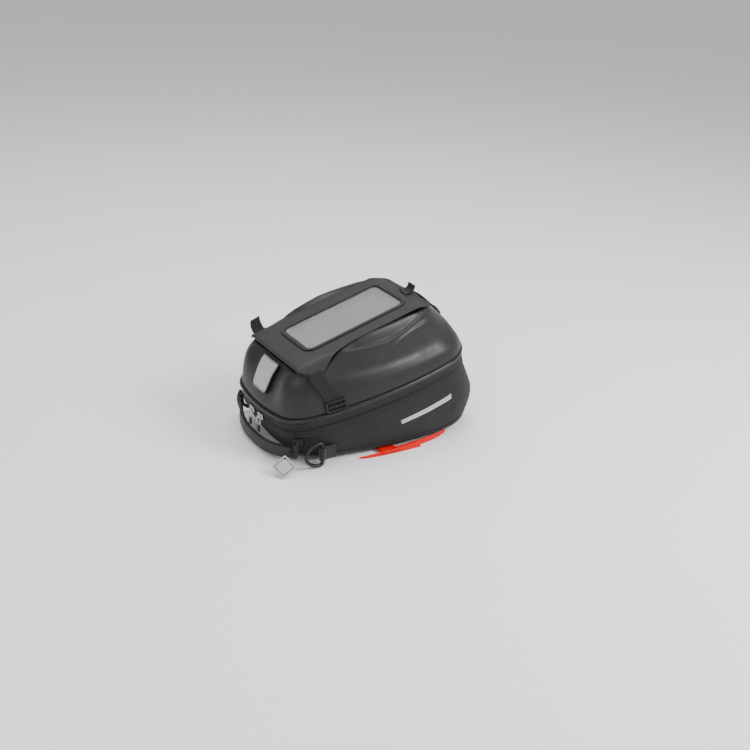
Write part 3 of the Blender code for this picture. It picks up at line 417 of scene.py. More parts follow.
def smooth_path(points, steps=8, cyclic=False):
    """A smooth curve through points."""
    n, out = len(points), []
    last = n if cyclic else n - 1
    for i in range(last):
        p0 = points[(i - 1) % n] if (cyclic or i) else points[0] * 2 - points[1]
        p1, p2 = points[i], points[(i + 1) % n]
        p3 = points[(i + 2) % n] if (cyclic or i + 2 < n) else points[-1] * 2 - points[-2]
        for k in range(steps):
            t = k / steps
            out.append((p1 * 2 + (p2 - p0) * t + (p0 * 2 - p1 * 5 + p2 * 4 - p3) * t * t
                        + (p1 * 3 - p0 - p2 * 3 + p3) * t ** 3) * 0.5)
    if not cyclic:
        out.append(points[-1].copy())
    return out


def resample(points, pitch, cyclic=False):
    """Points and their parameter at even spacing along a path."""
    loop = points + ([points[0]] if cyclic else [])
    total = sum((b - a).length for a, b in zip(loop, loop[1:]))
    count = max(1, round(total / pitch))
    step, out, travelled, want = total / count, [], 0.0, 0.0
    for i, (a, b) in enumerate(zip(loop, loop[1:])):
        length = (b - a).length
        while want <= travelled + length + 1e-9 and len(out) < count + (0 if cyclic else 1):
            t = (want - travelled) / length if length else 0.0
            out.append((a.lerp(b, t), i, t))
            want += step
        travelled += length
    return out


def sewn(name, lines, body, pitch=3.4, length=2.3, radius=0.32):
    """Thread dashes along lines; each line is (points, normals, cyclic)."""
    bm = bmesh.new()
    for points, normals, cyclic in lines:
        spots = resample(points, pitch, cyclic)
        n = len(points)
        for p, i, t in spots:
            a, b = points[i], points[(i + 1) % n]
            if (b - a).length < 1e-6:
                continue
            along = (b - a).normalized()
            up = Vector(normals[i]).lerp(Vector(normals[(i + 1) % n]), t)
            up = (up - along * up.dot(along)).normalized()
            side = along.cross(up)
            rings = []
            for s, k in ((-0.5, 0.25), (-0.3, 1.0), (0.3, 1.0), (0.5, 0.25)):
                c = p + along * (s * length) + up * (radius * (0.45 if k == 1.0 else -0.6))
                thick = radius * k
                rings.append([bm.verts.new((c + side * (thick * math.cos(w)) + up * (thick * math.sin(w))) * MM)
                              for w in SIXTHS])
            bridge(bm, rings)
    bmesh.ops.recalc_face_normals(bm, faces=bm.faces)
    obj = new_object(name, bm, THREAD, 60.0)
    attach(obj, body)


def plate(name, loops, thickness, matrix, look, bevel=0.5, rings=2):
    """A flat piece with round edges from closed outlines in a frame's XY plane; inner outlines are holes."""
    curve = bpy.data.curves.new(name, "CURVE")
    curve.dimensions = "2D"
    curve.fill_mode = "BOTH"
    curve.extrude = max(0.0, thickness / 2 - bevel) * MM
    curve.bevel_depth = bevel * MM
    curve.bevel_resolution = rings
    curve.offset = -bevel * MM
    for loop in loops:
        spline = curve.splines.new("POLY")
        spline.points.add(len(loop) - 1)
        for knot, (x, y) in zip(spline.points, loop):
            knot.co = (x * MM, y * MM, 0.0, 1.0)
        spline.use_cyclic_u = True
    source = bpy.data.objects.new(name + "_outline", curve)
    bpy.context.scene.collection.objects.link(source)
    bpy.context.view_layer.update()
    mesh = bpy.data.meshes.new_from_object(source.evaluated_get(bpy.context.evaluated_depsgraph_get()))
    bpy.data.objects.remove(source)
    bm = bmesh.new()
    bm.from_mesh(mesh)
    bmesh.ops.remove_doubles(bm, verts=bm.verts, dist=0.000002)
    put(bm, matrix)
    bmesh.ops.recalc_face_normals(bm, faces=bm.faces)
    return new_object(name, bm, look, 34.0)


def arc(cx, cy, radius, first, last, steps):
    turns = [math.radians(first + (last - first) * i / steps) for i in range(steps + 1)]
    return [(cx + radius * math.cos(t), cy + radius * math.sin(t)) for t in turns]


def rounded(x0, x1, half, radius, steps=6):
    """A rectangle with round corners, from x0 to x1 and from -half to half."""
    corners = ((x1 - radius, half - radius), (x0 + radius, half - radius),
               (x0 + radius, radius - half), (x1 - radius, radius - half))
    return [p for k, (x, y) in enumerate(corners) for p in arc(x, y, radius, 90 * k, 90 * k + 90, steps)]


def soft_box(name, size, matrix, look, radius=0.8, parts=3):
    """A box with round edges."""
    bm = bmesh.new()
    bmesh.ops.create_cube(bm, size=1.0)
    bmesh.ops.scale(bm, vec=[s * MM for s in size], verts=bm.verts)
    bmesh.ops.bevel(bm, geom=bm.edges[:], offset=radius * MM, segments=parts, profile=0.5, affect="EDGES")
    put(bm, matrix)
    return new_object(name, bm, look, 40.0)


def joined(name, pieces):
    """One object from several that share a look or two."""
    target = pieces[0]
    with bpy.context.temp_override(active_object=target, selected_editable_objects=pieces, selected_objects=pieces):
        bpy.ops.object.join()
    target.name = name
    target.data.name = name
    return target


# ---------------------------------------------------------------- looks
class Look:
    """A material made of nodes; its patterns use the object's own coordinates or a piece's UVs, both in metres."""

    def __init__(self, name, colour, rough, metallic=0.0, specular=0.5):
        self.material = bpy.data.materials.new(name)
        self.material.use_nodes = True
        self.tree = self.material.node_tree
        self.shader = self.tree.nodes["Principled BSDF"]
        self.shader.inputs["Base Color"].default_value = (*colour, 1.0)
        self.shader.inputs["Roughness"].default_value = rough
        self.shader.inputs["Metallic"].default_value = metallic
        self.shader.inputs["Specular IOR Level"].default_value = specular
        self.colour = colour
        self.bumps = []
        coords = self.tree.nodes.new("ShaderNodeTexCoord")
        self.place, self.uv = coords.outputs["Object"], coords.outputs["UV"]

    def node(self, kind, **settings):
        made = self.tree.nodes.new("ShaderNode" + kind)
        for key, value in settings.items():
            setattr(made, key, value)
        return made

    def link(self, a, b):
        self.tree.links.new(a, b)

    def noise(self, per_metre, detail, rough=0.55):
        made = self.node("TexNoise")
        made.inputs["Scale"].default_value = per_metre
        made.inputs["Detail"].default_value = detail
        made.inputs["Roughness"].default_value = rough
        self.link(self.place, made.inputs["Vector"])
        return made.outputs["Fac"]

    def cells(self, per_metre, feature):
        made = self.node("TexVoronoi", feature=feature)
        made.inputs["Scale"].default_value = per_metre
        self.link(self.place, made.inputs["Vector"])
        return made.outputs["Distance"]

    def maths(self, operation, *values):
        made = self.node("Math", operation=operation)
        for socket, value in zip(made.inputs, values):
            if isinstance(value, float):
                socket.default_value = value
            else:
                self.link(value, socket)
        return made.outputs[0]

    def waves(self, pitch, where=None, axes=(1, 1, 1)):
        """A lattice of threads: the mean of a sine along each axis, from 0 to 1."""
        parts = self.node("SeparateXYZ")
        self.link(where or self.place, parts.inputs[0])
        total = None
        for axis, weight in zip(parts.outputs, axes):
            if weight:
                wave = self.maths("SINE", self.maths("MULTIPLY", axis, 2 * math.pi / pitch))
                wave = self.maths("MULTIPLY", wave, float(weight))
                total = wave if total is None else self.maths("ADD", total, wave)
        return self.maths("MULTIPLY_ADD", total, 0.5 / sum(axes), 0.5)

    def spread(self, value, low, high, out_low, out_high):
        made = self.node("MapRange", clamp=True)
        self.link(value, made.inputs["Value"])
        for key, number in (("From Min", low), ("From Max", high), ("To Min", out_low), ("To Max", out_high)):
            made.inputs[key].default_value = number
        return made.outputs["Result"]

    def mix(self, blend):
        """A colour mix node, its two colour inputs and its colour output."""
        made = self.node("Mix", data_type="RGBA", blend_type=blend)
        colours = [s for s in made.inputs if s.type == "RGBA"]
        return made, colours, [s for s in made.outputs if s.type == "RGBA"][0]

    def tint(self, value, dark, light):
        """Scale the base colour between two factors by a 0 to 1 value."""
        made, sockets, result = self.mix("MIX")
        self.link(value, made.inputs["Factor"])
        base = self.shader.inputs["Base Color"]
        source = base.links[0].from_socket if base.links else None
        for socket, factor in zip(sockets, (dark, light)):
            if source:
                scaled, (a, b), product = self.mix("MULTIPLY")
                scaled.inputs["Factor"].default_value = 1.0
                self.link(source, a)
                b.default_value = (factor, factor, factor, 1.0)
                self.link(product, socket)
            else:
                socket.default_value = (*[min(1.0, c * factor) for c in self.colour], 1.0)
        self.link(result, base)
        return self

    def roughen(self, value, low, high):
        self.link(self.spread(value, 0.25, 0.75, low, high), self.shader.inputs["Roughness"])
        return self

    def bump(self, height, distance_mm, strength=1.0):
        made = self.node("Bump")
        made.inputs["Strength"].default_value = strength
        made.inputs["Distance"].default_value = distance_mm * MM
        self.link(height, made.inputs["Height"])
        if self.bumps:
            self.link(self.bumps[-1], made.inputs["Normal"])
        self.bumps.append(made.outputs["Normal"])
        self.link(made.outputs["Normal"], self.shader.inputs["Normal"])
        return self

    def sheen(self, weight):
        self.shader.inputs["Sheen Weight"].default_value = weight
        self.shader.inputs["Sheen Roughness"].default_value = 0.5
        self.shader.inputs["Sheen Tint"].default_value = (1.0, 1.0, 1.0, 1.0)
        return self


def moulded(name, colour, rough, grain=2600.0, sheen=0.0, coarse=0.05):
    """Satin moulded foam, rubber or plastic: a fine leathery grain, soft mottling and rubbed patches."""
    made = Look(name, colour, rough, specular=0.36)
    made.tint(made.noise(45.0, 5.0), 0.82, 1.22)
    made.tint(made.spread(made.noise(grain * 0.35, 2.0), 0.35, 0.7, 0.0, 1.0), 0.9, 1.1)
    made.roughen(made.noise(70.0, 6.0, 0.65), rough - 0.07, rough + 0.09)
    made.bump(made.cells(grain, "SMOOTH_F1"), coarse, 0.55)
    made.bump(made.noise(210.0, 3.0), 0.12, 0.35)
    return made.sheen(sheen).material


def woven(name, colour, rough, pitch=0.9, sheen=0.25, mottle=(0.68, 1.4), depth=0.12, mapped=True):
    """Plain woven cloth: a lattice of threads with slubs, uneven dye and a little fuzz."""
    made = Look(name, colour, rough, specular=0.2)
    weave = made.waves(pitch * MM, made.uv, (1, 1, 0)) if mapped else made.waves(pitch * MM)
    made.tint(weave, 0.82, 1.2)
    made.tint(made.spread(made.noise(900.0, 3.0), 0.3, 0.7, 0.0, 1.0), *mottle)
    made.tint(made.noise(38.0, 4.0), 0.86, 1.16)
    made.roughen(made.noise(600.0, 2.0), rough - 0.08, rough + 0.08)
    made.bump(weave, depth, 0.9)
    made.bump(made.noise(1500.0, 2.0), 0.07, 0.6)
    made.bump(made.noise(75.0, 3.0), 0.5, 0.25)
    return made.sheen(sheen).material


def ribbed(name, colour, rough, rib, pick, across, sheen, depth):
    """Webbing: ribs along the tape crossed by fine picks; across is the UV axis that runs over the width."""
    made = Look(name, colour, rough, specular=0.22)
    over, along = ((1, 0, 0), (0, 1, 0)) if across == 0 else ((0, 1, 0), (1, 0, 0))
    ribs = made.waves(rib * MM, made.uv, over)
    picks = made.waves(pick * MM, made.uv, along)
    made.tint(ribs, 0.5, 1.5)
    made.tint(picks, 0.55, 1.45)
    made.tint(made.noise(240.0, 4.0), 0.85, 1.18)
    made.roughen(made.noise(500.0, 2.0), rough - 0.06, rough + 0.08)
    made.bump(ribs, depth, 0.9)
    made.bump(picks, depth * 0.7, 0.8)
    return made.sheen(sheen).material


def plated(name, colour, rough):
    """Cast and plated metal: fine scratches and a faint clouding."""
    made = Look(name, colour, rough, metallic=1.0)
    made.tint(made.noise(260.0, 5.0), 0.72, 1.1)
    made.roughen(made.noise(900.0, 4.0), rough - 0.08, rough + 0.14)
    made.bump(made.noise(700.0, 5.0), 0.05, 0.5)
    return made.material


def clear_film():
    # the film's pale grey base colour is partly its own milky haze and partly a painted reflection of the lamps on
    # it
    made = Look("clear_film", (0.86, 0.87, 0.88), 0.12, specular=0.5)
    made.shader.inputs["Transmission Weight"].default_value = 0.86
    made.shader.inputs["IOR"].default_value = 1.3
    made.tint(made.noise(60.0, 4.0), 0.96, 1.04)
    made.roughen(made.noise(40.0, 5.0, 0.6), 0.08, 0.16)
    return made.material


def reflective(name, colour):
    """Retroreflective film: silver with a fine cell pattern and light scuffs."""
    made = Look(name, colour, 0.42, metallic=0.25, specular=0.6)
    edge = made.spread(made.cells(780.0, "DISTANCE_TO_EDGE"), 0.0, 0.16, 0.0, 1.0)
    made.tint(edge, 0.86, 1.03)
    made.tint(made.noise(90.0, 5.0), 0.92, 1.06)
    made.roughen(made.noise(160.0, 5.0), 0.34, 0.52)
    made.bump(edge, 0.04, 0.5)
    return made.material


EVA = moulded("lid_foam", (0.0105, 0.0105, 0.0113), 0.42, 2300.0, 0.03, 0.06)
RUBBER = moulded("rubber_trim", (0.0085, 0.0085, 0.009), 0.48, 3000.0, 0.03)
BEAD = moulded("piping_bead", (0.010, 0.010, 0.0105), 0.3, 3200.0, 0.03, 0.03)
PLASTIC = moulded("nylon_plastic", (0.0075, 0.0075, 0.008), 0.4, 3600.0, 0.0, 0.045)
BOARD = moulded("stiffener_board", (0.035, 0.035, 0.036), 0.62, 1800.0)
SHEET = moulded("coated_sheet", (0.0125, 0.0125, 0.0135), 0.5, 2700.0, 0.03, 0.05)
WALL = woven("wall_cloth", (0.0165, 0.0165, 0.017), 0.8, 0.95, 0.05, (0.55, 1.6))
BAND = woven("zip_tape_cloth", (0.014, 0.014, 0.0145), 0.76, 0.7, 0.05, (0.8, 1.25), 0.08)
BASE = woven("base_cloth", (0.011, 0.011, 0.0115), 0.72, 1.3, mapped=False)
LINING = woven("lining_cloth", (0.16, 0.16, 0.165), 0.8, 0.6, mottle=(0.9, 1.12), depth=0.06)
POCKET = woven("pocket_lining", (0.13, 0.132, 0.137), 0.7, 0.5, mottle=(0.93, 1.07), depth=0.05)
WEBBING, STRIPWEB = [ribbed(name, (0.0115, 0.0115, 0.012), 0.7, 2.9, 2.4, across, sheen=0.08, depth=0.4)
                     for name, across in (("webbing", 0), ("webbing_swept", 1))]
RED = ribbed("red_tape", (0.78, 0.0, 0.0), 0.66, 1.5, 0.7, 0, sheen=0.0, depth=0.12)
THREAD = woven("thread", (0.030, 0.030, 0.031), 0.6, 0.35, depth=0.05)
COIL = moulded("nylon_coil", (0.016, 0.016, 0.017), 0.36, 4200.0, 0.0, 0.03)
SILVER = reflective("reflective_face", (0.44, 0.445, 0.45))
NICKEL = plated("nickel_plate", (0.60, 0.58, 0.55), 0.3)
STEEL = plated("plain_steel", (0.45, 0.45, 0.46), 0.34)
FILM_LOOK = clear_film()


def kept(names, look):
    """Give a look to nodes that the model keeps as they are."""
    for name in names:
        node = NODES[name]
        if not node.material_slots:
            node.data.materials.append(look)
        for item in node.material_slots:
            item.material = look


kept(["bottom_panel"], BASE)
kept(["base_plate"], BOARD)
kept(["lock_flange", "lock_retainer", "latch", "latch_guide"], PLASTIC)
kept([f"lock_screw_{i}" for i in range(1, 5)], STEEL)


def baked(obj):
    """Apply a piece's modifiers to its mesh."""
    bpy.context.view_layer.update()
    mesh = bpy.data.meshes.new_from_object(obj.evaluated_get(bpy.context.evaluated_depsgraph_get()))
    obj.modifiers.clear()
    obj.data = mesh
    return obj


def settle(obj, body, slot, *nodes):
    """Put a piece on its body, in place of the nodes it stands for; the slot is not used."""
    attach(obj, body)
    if nodes:
        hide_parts(*nodes)
    return obj


# ---------------------------------------------------------------- camera, floor and lights
# the camera's place in metres and its turn, solved from the photo
CAMERA_AT = (-0.69799, -1.13223, 0.66653)
CAMERA_TURN = ((0.849421, 0.185759, -0.493888), (-0.525814, 0.379305, -0.761365), (0.04566, 0.906299, 0.419852))
LENS, SENSOR = 52.8, 36.0
camera = bpy.data.objects.new("camera", bpy.data.cameras.new("camera"))
bpy.context.scene.collection.objects.link(camera)
camera.matrix_world = Matrix.Translation(CAMERA_AT) @ Matrix(CAMERA_TURN).to_4x4()
camera.data.lens = LENS
camera.data.sensor_width = SENSOR
bpy.context.scene.camera = camera


def area_light(name, place, aim, size, power):
    """A round lamp: place, aim and size in metres, power in watts."""
    data = bpy.data.lights.new(name, "AREA")
    data.shape = "DISK"
    data.size = size
    data.energy = power
    lamp = bpy.data.objects.new(name, data)
    lamp.location = place
    lamp.rotation_euler = (Vector(aim) - Vector(place)).to_track_quat("-Z", "Y").to_euler()
    bpy.context.scene.collection.objects.link(lamp)


area_light("key", (0.85, -1.10, 1.15), (0.0, 0.0, 0.06), 0.8, 32.0)
area_light("fill", (-1.3, -0.5, 1.1), (0.0, 0.0, 0.05), 1.4, 9.0)
area_light("overhead", (0.1, 0.5, 1.7), (0.0, 0.0, 0.1), 1.6, 22.0)
world = bpy.data.worlds.new("studio")
world.use_nodes = True
sky = world.node_tree.nodes["Background"].inputs
sky["Color"].default_value = (0.86, 0.87, 0.89, 1.0)
sky["Strength"].default_value = 0.7
bpy.context.scene.world = world

bm = bmesh.new()
bmesh.ops.create_grid(bm, x_segments=1, y_segments=1, size=40.0)
floor_look = Look("floor", (0.90, 0.90, 0.90), 0.8)
floor_look.tint(floor_look.noise(6.0, 3.0), 0.985, 1.015)
floor = new_object("floor", bm, floor_look.material)
FLOOR_GAP = 0.0002
floor.location.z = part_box("lock_flange")[0].z - FLOOR_GAP


# ---------------------------------------------------------------- lid
def bed_row(bed, depth):
    """A row of the flat bed under the holder."""
    row = []
    for a in FINE:
        x, y = stretch(a, *bed)
        row.append(SEAM @ Vector((x, y, film_height(x) - depth)))
    return row


def lid_skin():
    """The moulded skin, with its relief, and the lining under it."""
    rows = [[SEAM @ (lid_point(a, 0.0) + Vector((0, 0, lift))) for a in FINE] for lift in (-3.0, -1.6)]
    levels = [i + k / steps for i, steps in enumerate(ROWS_PER_LEVEL) for k in range(steps)]
    for level in levels + [8.0]:
        row = []
        for a in FINE:
            p = lid_point(a, level)
            out = relief(p.x, level, p.y)
            if out:
                p = p + lid_normal(a, min(level, 7.9)) * out
            row.append(SEAM @ p)
        rows.append(row)
    rows += [bed_row(bed, BED_DEPTH) for bed in BED_RINGS]
    skin = surface("lid_skin", rows, EVA, closed=True, cap=True, smooth=55.0)
    settle(skin, "lid", "eva_lid", "lid_shell")
    inner = [rows[0]]
    for i in range(40):
        level = 5.6 * i / 39
        drop = Vector((0, 0, 3.0 - 3.0 * i / 39))
        inner.append([SEAM @ (lid_point(a, level) - lid_normal(a, max(0.1, level)) * LINING_IN - drop)
                      for a in FINE])
    inner += [bed_row(bed, BED_DEPTH + LINING_DOWN) for bed in [(-97.0, 92.0, 64.0)] + BED_RINGS[1:]]
    lining = surface("lid_lining", inner, LINING, closed=True, cap=True, smooth=55.0, flip=True)
    settle(lining, "lid", "eva_lid")


lid_skin()


def ring_sweep(name, profile, look):
    """A closed profile of (out, z) points carried right round the seam."""
    rows = [[SEAM @ Vector((*plan(a, out), z)) for a in FINE] for out, z in profile + profile[:1]]
    obj = surface(name, rows, look, closed=True, smooth=50.0)
    bm = bmesh.new()
    bm.from_mesh(obj.data)
    bmesh.ops.remove_doubles(bm, verts=bm.verts, dist=0.00001)
    bmesh.ops.recalc_face_normals(bm, faces=bm.faces)
    bm.to_mesh(obj.data)
    bm.free()
    return obj


def seam_line(out, z):
    return [SEAM @ Vector((*plan(a, out), z)) for a in FINE], [SEAM.to_3x3() @ outward(a) for a in FINE]


bead = arc(-1.2, 0.6, 2.3, -60, 240, 15)
settle(ring_sweep("piping_bead", bead + [(-2.2, -2.4), (-0.4, -2.4)], BEAD), "lid", "piping", "lid_piping")
upper = [(-1.0, -2.0), (-0.72, -2.5), (-0.8, -3.6), (-0.62, -5.2), (-0.6, -8.2), (-0.78, -10.4), (-1.0, -11.4),
         (-1.7, -11.6), (-2.3, -10.6), (-2.3, -2.0)]
settle(ring_sweep("zip_band_upper", upper, BAND), "lid", "wall_fabric", "zip_tape_upper")
lower = [(-1.3, -13.9), (-0.8, -14.3), (-0.6, -16.5), (-0.5, -19.0), (-0.7, -20.3), (-0.35, -20.8), (-0.3, -22.2),
         (-1.0, -22.7), (-2.3, -22.0), (-2.3, -14.4)]
settle(ring_sweep("zip_band_lower", lower, BAND), "bag", "wall_fabric", "zip_tape_lower")


def teeth(name, z, phase, body, node):
    """One row of zip teeth at a height on the seam, shifted by a share of their pitch."""
    tall = 1.5
    bm = bmesh.new()
    line, normals = seam_line(-1.1, z)
    pitch, up = 2.0, SEAM.to_3x3() @ Vector((0, 0, 1))
    for p, i, t in resample(line, pitch, True):
        q = line[(i + 1) % len(line)]
        along = (q - line[i]).normalized()
        out = normals[i].lerp(normals[(i + 1) % len(normals)], t).normalized()
        c = p + along * (phase * pitch)
        corners = []
        for d, w, h in ((-1.7, 0.48, 0.5), (0.15, 0.48, 0.5), (0.5, 0.3, 0.32)):
            corners.append([bm.verts.new((c + out * d + along * (w * a) + up * (h * tall * b)) * MM)
                            for a, b in ((-1, -1), (1, -1), (1, 1), (-1, 1))])
        bridge(bm, corners)
    bmesh.ops.recalc_face_normals(bm, faces=bm.faces)
    settle(new_object(name, bm, COIL, 30.0), body, "zip_coil", node)


teeth("zip_teeth_upper", -12.1, 0.0, "lid", "zip_coil_upper")
teeth("zip_teeth_lower", -13.1, 0.5, "bag", "zip_coil_lower")
sewn("stitches_zip_upper", [(*seam_line(-0.62, -3.4), True)], "lid")
sewn("stitches_zip_lower", [(*seam_line(-0.42, -21.4), True)], "bag")


# ---------------------------------------------------------------- side wall
def wall_point(angle, share, lift=0.0):
    """A point of the side wall, from share 0 at its hem to share 1 under the zip."""
    x, y = plan(angle, -1.6)
    high = SEAM @ Vector((x, y, -22.3))
    x, y = stretch(angle, *HEM_RING)
    t = max(0.0, (x - BOW_START) / (HEM_RING[1] - BOW_START))
    low = Vector((x, y, BASE_Z + HEM_Z + BOW_RISE * t * t))
    turn = abs((angle + 180.0) % 360.0 - 180.0)
    s = min(1.0, max(0.0, share))
    swell = (BULGE_OUT + FRONT_BULGE * eased(95.0, 50.0, turn)) * math.sin(math.pi * s ** 0.8)
    p = low.lerp(high, share)
    ripple = noise.noise(Vector((p.x, p.y, p.z * 1.6)) * 0.028) * 1.5 + noise.noise(p * 0.075) * 0.5
    return p + outward(angle) * (swell + ripple * math.sin(math.pi * s) + lift)


rows = [[wall_point(a, i / 26) for a in FINE] for i in range(27)]
top = [SEAM @ Vector((*plan(a, -2.6), -20.5)) for a in FINE]
foot = [wall_point(a, 0.0, -2.0) + Vector((0, 0, 0.2)) for a in FINE]
wall = surface("wall_skin", [foot] + rows + [top], [WALL, LINING], closed=True, smooth=60.0)
thicken(wall, 1.8, 1)
settle(wall, "bag", "wall_fabric", "side_wall")


def wall_line(share, lift):
    return [wall_point(a, share, lift) for a in FINE], [outward(a) for a in FINE]


points, normals = wall_line(0.015, -0.3)
hem = sweep("hem_binding", points, circle(2.0, 12), STRIPWEB, ups=normals, cyclic=True)
settle(hem, "bag", "webbing")
points, normals = wall_line(0.10, 0.1)
sewn("stitches_hem", [(points, normals, True)], "bag")


def patch(name, corners, look, lift, steps=14, thickness=0.5):
    """A piece that lies on the wall, between four (angle, share) corners."""
    rows = []
    (a0, s0), (a1, s1), (a2, s2), (a3, s3) = corners
    for i in range(steps + 1):
        u = i / steps
        row = []
        for k in range(steps + 1):
            v = k / steps
            angle = (a0 + (a1 - a0) * v) * (1 - u) + (a3 + (a2 - a3) * v) * u
            share = (s0 + (s1 - s0) * v) * (1 - u) + (s3 + (s2 - s3) * v) * u
            row.append(wall_point(angle, share, lift))
        rows.append(row)
    obj = surface(name, rows, look, smooth=50.0)
    half_way = len(obj.data.polygons) // 2
    centre = obj.data.polygons[half_way].center
    return thicken(facing(obj, (centre.x, centre.y, 0), half_way), thickness)


def wall_angle(x, side):
    """The plan angle at which the hem reaches x on one side."""
    low, high = 60.0, 150.0
    for _ in range(30):
        middle = (low + high) / 2
        if stretch(middle, *HEM_RING)[0] > x:
            low = middle
        else:
            high = middle
    return side * (low + high) / 2


for name, side in SIDES:
    a, b = wall_angle(24.0, side), wall_angle(104.0, side)
    strip = patch(f"reflective_strip_{name}", [(a, 0.50), (b, 0.62), (b, 0.72), (a, 0.60)], SILVER, 0.3, 28, 0.4)
    settle(strip, "bag", "reflective")


def guard_top(angle):
    return 0.10 + 0.36 * eased(66.0, 20.0, abs(angle))


spread = [-66.0 + 132.0 * i / 60 for i in range(61)]
rows = [[wall_point(a, 0.03 + (guard_top(a) - 0.03) * k / 14, 0.55) for a in spread] for k in range(15)]
guard = surface("front_guard", rows, SHEET, smooth=50.0)
thicken(facing(guard, (1, 0, 0), len(guard.data.polygons) // 2), 0.7)
settle(guard, "bag", "wall_fabric")
edge = [wall_point(a, guard_top(a) - 0.035, 0.6) for a in spread]
outs = [outward(a) for a in spread]
sewn("stitches_guard", [(edge, outs, False)], "bag")


# ---------------------------------------------------------------- hinge at the front
arc_span = [-12.5 + 25.0 * i / 24 for i in range(25)]
rows = []
for i in range(13):
    z = -21.0 + 12.5 * i / 12
    rows.append([SEAM @ Vector((*plan(a, 0.35 + 0.5 * math.sin(math.pi * i / 12)), z)) for a in arc_span])
gusset = baked(thicken(surface("hinge_gusset", rows, BASE, smooth=60.0), 0.9))
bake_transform(gusset)
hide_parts("lid_hinge_strip")


# ---------------------------------------------------------------- phone holder
def sheet_loop(inset=0.0):
    """The sheet's outline in the film plane, with its front corners rounded, drawn in by inset."""
    corner = [(96.0 + x, -48.0 + y) for x, y in arc(0, 0, 9.0, 0, -75, 8)]
    half = [Vector((x, y, 0.0)) for x, y in SHEET_FRONT + corner + SHEET_SIDE + SHEET_WING]
    loop = half + [Vector((p.x, -p.y, 0.0)) for p in reversed(half[1:-1])]
    loop = [p for p, _, _ in resample(loop, 1.5, True)]
    for _ in range(2):
        loop = [(loop[i - 1] + p * 2 + loop[(i + 1) % len(loop)]) / 4 for i, p in enumerate(loop)]
    inner = []
    for i, p in enumerate(loop):
        side = (loop[(i + 1) % len(loop)] - loop[i - 1]).normalized().cross(UPWARD)
        inner.append(p + side * (inset if side.dot(-p) > 0 else -inset))
    return inner


def radial(loop, angle):
    """Where a ray from the window's middle leaves a closed outline."""
    cx, dx, dy = WINDOW_MIDDLE, math.cos(angle), math.sin(angle)
    best = None
    for (ax, ay), (bx, by) in zip(loop, loop[1:] + loop[:1]):
        ex, ey = bx - ax, by - ay
        cross = dx * ey - dy * ex
        if abs(cross) < 1e-9:
            continue
        far = ((ax - cx) * ey - ay * ex) / cross
        share = ((ax - cx) * dy - ay * dx) / cross
        if far > 0 and -1e-6 <= share <= 1 + 1e-6:
            best = far if best is None else min(best, far)
    return cx + dx * best, dy * best


def on_sheet(x, y, lift=0.0):
    """A point over the sheet; it is a little uneven, tight round the window and looser towards the wings."""
    loose = eased(40.0, 70.0, abs(y)) + eased(-70.0, -98.0, x)
    wave = noise.noise(Vector((x * 0.035, y * 0.045, 2.0))) * 0.9 * loose
    return FILM @ Vector((x, y, -droop(x, y) + wave + lift))


outer = [(p.x, p.y) for p in sheet_loop()]
rear, front, wide, corner = WINDOW
hole = rounded(rear + 2.0, front - 2.0, wide - 2.0, corner - 2.0, 8)
turns = sorted([2 * math.pi * i / 300 - math.pi for i in range(300)]
               + [math.atan2(y, x - WINDOW_MIDDLE) for x, y in hole])
turns = [a for a, b in zip(turns, turns[1:] + [10.0]) if b - a > 0.006]
rows = []
for i in range(21):
    share = i / 20
    row = []
    for a in turns:
        (hx, hy), (ox, oy) = radial(hole, a), radial(outer, a)
        row.append(on_sheet(hx + (ox - hx) * share, hy + (oy - hy) * share))
    rows.append(row)
rows.reverse()
cover = surface("holder_cover", rows, [SHEET, LINING], closed=True, smooth=50.0)
thicken(facing(cover, UPWARD), 1.5, 1)
settle(cover, "lid", "holder_sheet", "holder_sheet")


line = [on_sheet(p.x, p.y, 0.1) for p in sheet_loop(3.6)]
sewn("stitches_holder", [(line, [FILM_UP] * len(line), True)], "lid", 3.0, 2.0, 0.28)
hem_path = [on_sheet(-99.6, -66.0 + 132.0 * i / 44, -2.0) for i in range(45)]
roll = []
for i, p in enumerate(hem_path):
    along = (hem_path[min(i + 1, 44)] - hem_path[max(i - 1, 0)]).normalized()
    side = along.cross(FILM_UP).normalized()
    turns_round = [2 * math.pi * k / 20 for k in range(20)]
    roll.append([p + side * (2.5 * math.cos(a)) + FILM_UP * (2.2 * math.sin(a)) for a in turns_round])
tunnel = surface("holder_rear_hem", roll, SHEET, closed=True, smooth=60.0)
thicken(tunnel, 0.8, offset=0.0)
settle(tunnel, "lid", "holder_sheet")

border = [rounded(rear, front, wide, corner, 10),
          rounded(rear + 4.5, front - 4.5, wide - 4.5, corner - 4.5, 10)]
frame_at = FILM @ Matrix.Translation((0, 0, 1.0))
settle(plate("window_border", border, 1.5, frame_at, RUBBER, 0.7, 4), "lid", "rubber_trim", "window_frame")
lip = [rounded(rear + 4.4, front - 4.4, wide - 4.4, corner - 4.4, 10),
       rounded(rear + 6.0, front - 6.0, wide - 6.0, corner - 6.0, 10)]
settle(plate("window_lip", lip, 0.7, FILM @ Matrix.Translation((0, 0, 0.35)), BEAD, 0.3, 2), "lid", "rubber_trim")
line = [FILM @ Vector((x, y, 1.75)) for x, y in rounded(rear + 2.2, front - 2.2, wide - 2.2, corner - 2.2, 10)]
sewn("stitches_window", [(line, [FILM_UP] * len(line), True)], "lid", 2.8, 1.9, 0.25)

